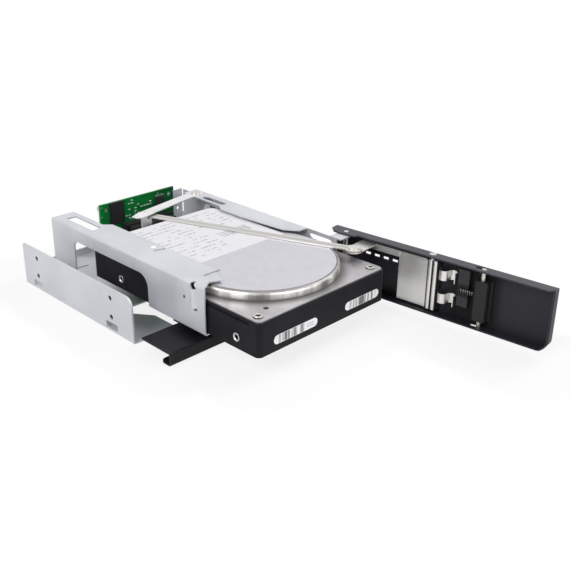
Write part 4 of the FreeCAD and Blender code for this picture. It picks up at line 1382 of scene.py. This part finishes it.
    def _rail_collars(self) -> None:
        """Drawn collar behind each rail hole, its thread dark as painted shade inside the hole: a wall
        profile carried round its axis.
        """
        low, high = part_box("base_tray")
        inner, outer = self.rail_hole_r - self.thread_depth, self.rail_hole_r + self.collar_wall
        near, far = self.collar_start, self.rail_sheet + self.collar_length
        hole, behind = self.rail_hole_r - self.thread_gap, self.rail_sheet + self.collar_gap
        profile = np.array(
            [(inner, near), (inner, far), (outer, far), (outer, behind), (hole, behind), (hole, near)]
        )
        collars = [
            looped(revolved(profile, Vector((x, y, z)), (way, 0.0, 0.0), self.collar_around))
            for x, way in ((low.x, 1.0), (high.x, -1.0))
            for y in self.rail_hole_rows
            for z in self.rail_hole_heights
        ]
        piece("rail_hole_collars", collars, Body.FRAME, self.finish.thread)


@dataclass
class Drive(SubAssembly):
    """The hard drive that slides in the cage."""

    disc_back: float = 52.0 * MM
    disc_r: float = 46.5 * MM
    board_darkening: Span = (0.0, 0.2)
    hole_stations: tuple[float, ...] = (16.9 * MM, 76.9 * MM, 118.5 * MM)
    hole_height: float = 6.35 * MM
    hole_r: float = 1.75 * MM
    ring_r: float = 2.45 * MM
    ring_lift: float = 0.12 * MM
    ring_rows: int = 7
    ring_around: int = 32
    throat_wall: Span = (0.05 * MM, 0.25 * MM)
    throat_drop: Span = (0.1 * MM, 1.6 * MM)
    screw_front: float = 6.5 * MM
    screw_middle: float = 43.0 * MM
    screw_rear: float = 6.0 * MM
    screw_seat_r: float = 2.4 * MM
    screw_r: float = 2.7 * MM
    screw_height: float = 0.9 * MM
    screw_fall: float = 0.28
    screw_rows: int = 22
    screw_around: int = 48
    lobes: int = 6
    lobe_r: float = 1.45 * MM
    lobe_wave: float = 0.14
    lobe_depth: float = 0.75 * MM
    lobe_slope: float = 0.12 * MM

    def build(self) -> None:
        """Makes the hole rings and the lid screws."""
        self._hole_rings()
        self._cover_screws()

    def finishes(self) -> dict[str, Material]:
        """Finish of each node.

        Returns:
            The finishes by the nodes' names.
        """
        cover_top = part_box("drive_cover")[1].z
        centre = Vector((0.0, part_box("drive_base")[0].y + self.disc_back, cover_top))
        cover = CoverMetal(centre, self.disc_r, cover_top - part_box("cover_screws")[0].z)
        low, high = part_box("front_stickers")
        return {
            "drive_base": Casting().material(),
            "drive_cover": cover.material(),
            "drive_label": PrintedLabel(*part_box("drive_label")).material(),
            "front_stickers": BarSticker((low.z + high.z) / 2, (high.z - low.z) / 2).material(),
            "drive_board": SolderMask("drive_board_mask", (0, 1), self.board_darkening).material(),
            "drive_plug": self.finish.plastic,
        }

    def _hole_rings(self) -> None:
        """Bright countersunk mouth round each side hole: a low rounded ring carried round its axis."""
        low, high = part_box("drive_base")
        angle = np.linspace(0.0, math.pi, self.ring_rows)
        middle, half = (self.ring_r + self.hole_r) / 2, (self.ring_r - self.hole_r) / 2
        crown = np.stack([middle + half * np.cos(angle), self.ring_lift * np.sin(angle)], axis=1)
        outer, inner = (self.hole_r - wall for wall in self.throat_wall)
        near, far = self.throat_drop
        profile = np.concatenate([crown, [(inner, -near), (inner, -far), (outer, -far)]])
        rings = []
        for station in self.hole_stations:
            for x, way in ((low.x, -1.0), (high.x, 1.0)):
                spot = Vector((x, low.y + station, low.z + self.hole_height))
                rings.append(looped(revolved(profile, spot, (way, 0.0, 0.0), self.ring_around)))
        piece("side_hole_rings", rings, Body.DRIVE, self.finish.steel)

    def _cover_screws(self) -> None:
        """Lid screws: a low dome with a six-lobed socket.

        On a polar grid the height is a dome, less the socket's depth where the radius is under the
        lobe outline, which is a circle plus a small six-fold wave.
        """
        low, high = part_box("drive_base")
        screw_low, screw_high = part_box("cover_screws")
        margin = screw_high.x - self.screw_seat_r
        rows = (low.y + self.screw_front, high.y - self.screw_middle, high.y - self.screw_rear)
        radius = np.append(np.linspace(0.0, self.screw_r, self.screw_rows), self.screw_r)[:, None]
        angle = np.linspace(0.0, TURN, self.screw_around, endpoint=False)[None, :]
        dome = self.screw_height * (1 - self.screw_fall * (radius / self.screw_r) ** 2)
        lobe = self.lobe_r * (1 + self.lobe_wave * np.cos(self.lobes * angle))
        step = np.clip((radius - lobe) / self.lobe_slope + 0.5, 0.0, 1.0)
        height = dome - self.lobe_depth * (1 - step * step * (3 - 2 * step))
        height[-1] = 0.0
        flat = np.stack(np.broadcast_arrays(radius * np.cos(angle), radius * np.sin(angle), height), axis=-1)
        shape = np.concatenate([flat, np.zeros_like(flat[:1])])
        screws = [closed(shape + np.array((x, y, screw_low.z))) for x in (-margin, margin) for y in rows]
        made = piece("lid_screws", screws, Body.DRIVE, ScrewHead(screw_low.z).material())
        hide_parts("cover_screws")


@dataclass
class Ejector(SubAssembly):
    """The lever and the pull link."""

    link_angle: float = -68.18

    def finishes(self) -> dict[str, Material]:
        """Finish of each node.

        Returns:
            The finishes by the nodes' names.
        """
        return {
            "pull_link": LinkStrip(centre_of(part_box("link_joint_rivet")), self.link_angle).material(),
            "eject_lever": self.finish.lever,
            "link_joint_rivet": self.finish.steel,
            "link_pin": self.finish.steel,
        }


@dataclass
class Door(SubAssembly):
    """The hinged door with its bracket and spring fingers."""

    opened: float = 95.0
    # Drops below the door's top over which its painted highlight rises.
    lip_drop: Span = (0.9 * MM, 0.5 * MM)
    # Margin round the spring's heights for the painted shade on the latch block.
    recess_margin: float = 2.2 * MM

    def finishes(self) -> dict[str, Material]:
        """Finish of each node; the hinge, the door's top and the latch spring give their places.

        Returns:
            The finishes by the nodes' names.
        """
        hinge, degrees = centre_of(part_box("hinge_pin")), self.opened - 180.0
        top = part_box("door_panel")[1].z
        lip_rise = tuple(top - drop for drop in self.lip_drop)
        low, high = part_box("latch_spring")
        recess = (low.z - self.recess_margin, high.z + self.recess_margin)
        return {
            "door_panel": LinedCoat(hinge=hinge, degrees=degrees, lip_rise=lip_rise).material(),
            "door_bracket": BeadedPlate(hinge, degrees).material(),
            "bracket_rivets": self.finish.steel,
            "spring_fingers": self.finish.polished,
            "latch_block": BlockMoulding(recess=recess).material(),
        }


@dataclass
class Latch(SubAssembly):
    """The sprung latch that slides in the door."""

    wire_r: float = 0.40 * MM
    coil_r: float = 1.55 * MM
    turns: int = 6
    steps: int = 24
    travel: float = 3.5 * MM

    def build(self) -> None:
        """Makes the coil spring.

        The wire follows a helix: a circle of the coil's radius carried evenly along the door from
        the block's pocket to the sleeve.
        """
        joint = next(row for row in self.frame["joints"] if row["name"] == "latch_slide")
        way = -np.array(joint["axis"], float)
        low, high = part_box("latch_spring")
        middle = np.array(centre_of((low, high)))
        length = float((high - low).y)
        side = np.cross(UP, way)
        turn = np.linspace(0.0, TURN * self.turns, self.turns * self.steps)
        along = np.linspace(-length / 2 + self.wire_r, length / 2 - self.wire_r, turn.size)
        circle = np.cos(turn)[:, None] * side + np.sin(turn)[:, None] * np.array(UP)
        path = middle + along[:, None] * way + self.coil_r * circle
        coil = piece("latch_coil", [tube(path, self.wire_r)], Body.DOOR, self.finish.wire)
        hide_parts("latch_spring")
        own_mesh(coil)

    def finishes(self) -> dict[str, Material]:
        """Finish of each node: steel for the pin, plastic for the rest."""
        plastic = dict.fromkeys(("latch_sleeve", "latch_carriage", "latch_thumb"), self.finish.plastic)
        return {**plastic, "latch_pin": self.finish.steel}


@dataclass(frozen=True)
class Lamp:
    """A square soft lamp: where it hangs, its side length and its watts."""

    name: str
    place: Triple
    size: float
    power: float


@dataclass
class Studio:
    """Floor, soft light and the camera at the photograph's angle."""

    camera_place: Triple = (-0.30266, -0.39927, 0.22194)
    yaw: float = 45.83
    pitch: float = 22.66
    roll: float = -0.77
    lens: float = 51.80
    sensor: float = 36.0
    shift_y: float = -0.05
    clip: Span = (0.01, 50.0)
    floor_size: float = 60.0
    floor_drop: float = 0.02 * MM
    floor_colour: Colour = (0.92, 0.92, 0.92)
    floor_seen: float = 0.82
    floor_mirrored: float = 0.45
    floor_fade: float = 0.035
    footprints: tuple[str, ...] = ("base_tray", "front_trim", "drive_base", "door_panel")
    world_light: float = 0.08
    lamps: tuple[Lamp, ...] = (
        Lamp("key", (-1.05, -0.20, 0.85), 0.8, 12.0),
        Lamp("top", (0.25, 0.25, 1.25), 1.2, 2.6),
        Lamp("side", (1.0, -0.35, 1.0), 0.8, 10.6),
        Lamp("front", (0.10, -1.45, 0.55), 0.9, 6.0),
    )

    def build(self) -> None:
        """Makes the stage."""
        self._floor()
        self._world()
        for lamp in self.lamps:
            self._lamp(lamp)
        self._camera()

    def _floor(self) -> None:
        """Pale floor that keeps the shadow near the rack and turns white to the eye away from it."""
        half = self.floor_size / 2
        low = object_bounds()[0].z - self.floor_drop
        mesh = bpy.data.meshes.new("floor")
        outline = ((-half, -half), (half, -half), (half, half), (-half, half))
        mesh.from_pydata([(x, y, low) for x, y in outline], [], [(0, 1, 2, 3)])
        floor = placed("floor", mesh)
        graph = Graph.named("studio_floor")
        clear = reduce(Value.smaller, (self._clear_of(graph, name) for name in self.footprints))
        away = clear.ramp(0.0, self.floor_fade)
        paint = graph.node("ShaderNodeBsdfDiffuse", None, {"Color": self.floor_colour})
        white = graph.node("ShaderNodeEmission", None, {"Color": WHITE})
        seen, mirrored = graph.rays("Is Camera Ray"), graph.rays("Is Glossy Ray", "Is Transmission Ray")
        share = (seen * self.floor_seen).larger(mirrored * self.floor_mirrored)
        shown = share.larger(seen.larger(mirrored) * away)
        both = graph.node("ShaderNodeMixShader", None, {0: shown, 1: paint.outputs[0], 2: white.outputs[0]})
        graph.node("ShaderNodeOutputMaterial", None, {"Surface": both.outputs[0]})
        wear(floor, graph.owner)
        floor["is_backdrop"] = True

    @staticmethod
    def _clear_of(graph: Graph, name: str) -> Value:
        """Level distance to a node's footprint: the root of the squared overshoot on both axes.

        Args:
            graph: The floor's tree.
            name: The node.

        Returns:
            The distance, zero on the footprint.
        """
        low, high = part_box(name)
        x, y, _ = graph.axes(graph.moved(centre_of((low, high))))
        past_x = (abs(x) - (high.x - low.x) / 2).larger(0.0)
        past_y = (abs(y) - (high.y - low.y) / 2).larger(0.0)
        return (past_x * past_x + past_y * past_y).root()

    def _world(self) -> None:
        """White surroundings for the eye and in metal, softer for the light they give."""
        graph = Graph(bpy.data.worlds.new("studio"))
        bpy.context.scene.world = graph.owner
        light, white = (
            graph.node("ShaderNodeBackground", None, {"Color": WHITE, "Strength": strength}).outputs[0]
            for strength in (self.world_light, 1.0)
        )
        shown = graph.rays("Is Camera Ray", "Is Glossy Ray", "Is Transmission Ray")
        both = graph.node("ShaderNodeMixShader", None, {0: shown, 1: light, 2: white})
        graph.node("ShaderNodeOutputWorld", None, {"Surface": both.outputs[0]})

    def _lamp(self, lamp: Lamp) -> None:
        """Hangs a lamp and aims it at the object's middle.

        Args:
            lamp: The lamp's place, size and power.
        """
        data = bpy.data.lights.new(lamp.name, "AREA")
        data.size, data.energy = lamp.size, lamp.power
        made = placed(lamp.name, data)
        made.location = lamp.place
        aim = centre_of(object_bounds()) - Vector(lamp.place)
        made.rotation_euler = aim.to_track_quat("-Z", "Y").to_euler()

    def _camera(self) -> None:
        """Camera from its place, yaw, pitch and roll."""
        yaw, pitch, roll = (math.radians(angle) for angle in (self.yaw, self.pitch, self.roll))
        ahead = Vector((math.sin(yaw) * math.cos(pitch), math.cos(yaw) * math.cos(pitch), -math.sin(pitch)))
        right = Vector((math.cos(yaw), -math.sin(yaw), 0.0))
        down = ahead.cross(right)
        turned_right = math.cos(roll) * right + math.sin(roll) * down
        turned_down = math.cos(roll) * down - math.sin(roll) * right
        data = bpy.data.cameras.new("camera")
        data.lens, data.sensor_width, data.shift_y = self.lens, self.sensor, self.shift_y
        data.clip_start, data.clip_end = self.clip
        camera = placed("camera", data)
        axes = Matrix((turned_right, -turned_down, -ahead)).transposed()
        camera.matrix_world = Matrix.Translation(Vector(self.camera_place)) @ axes.to_4x4()
        bpy.context.scene.camera = camera


def main() -> None:
    """Dresses the rack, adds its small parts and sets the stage."""
    logging.basicConfig(level=logging.INFO, format="%(name)s %(message)s")
    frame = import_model()
    bpy.context.scene.view_settings.view_transform = "Standard"
    finish = Finish()
    groups = [kind(frame, finish) for kind in (Rack, Drive, Ejector, Door, Latch)]
    for group in groups:
        group.build()
    for group in groups:
        group.dress()
    Studio().build()


if __name__ == "__main__":
    main()
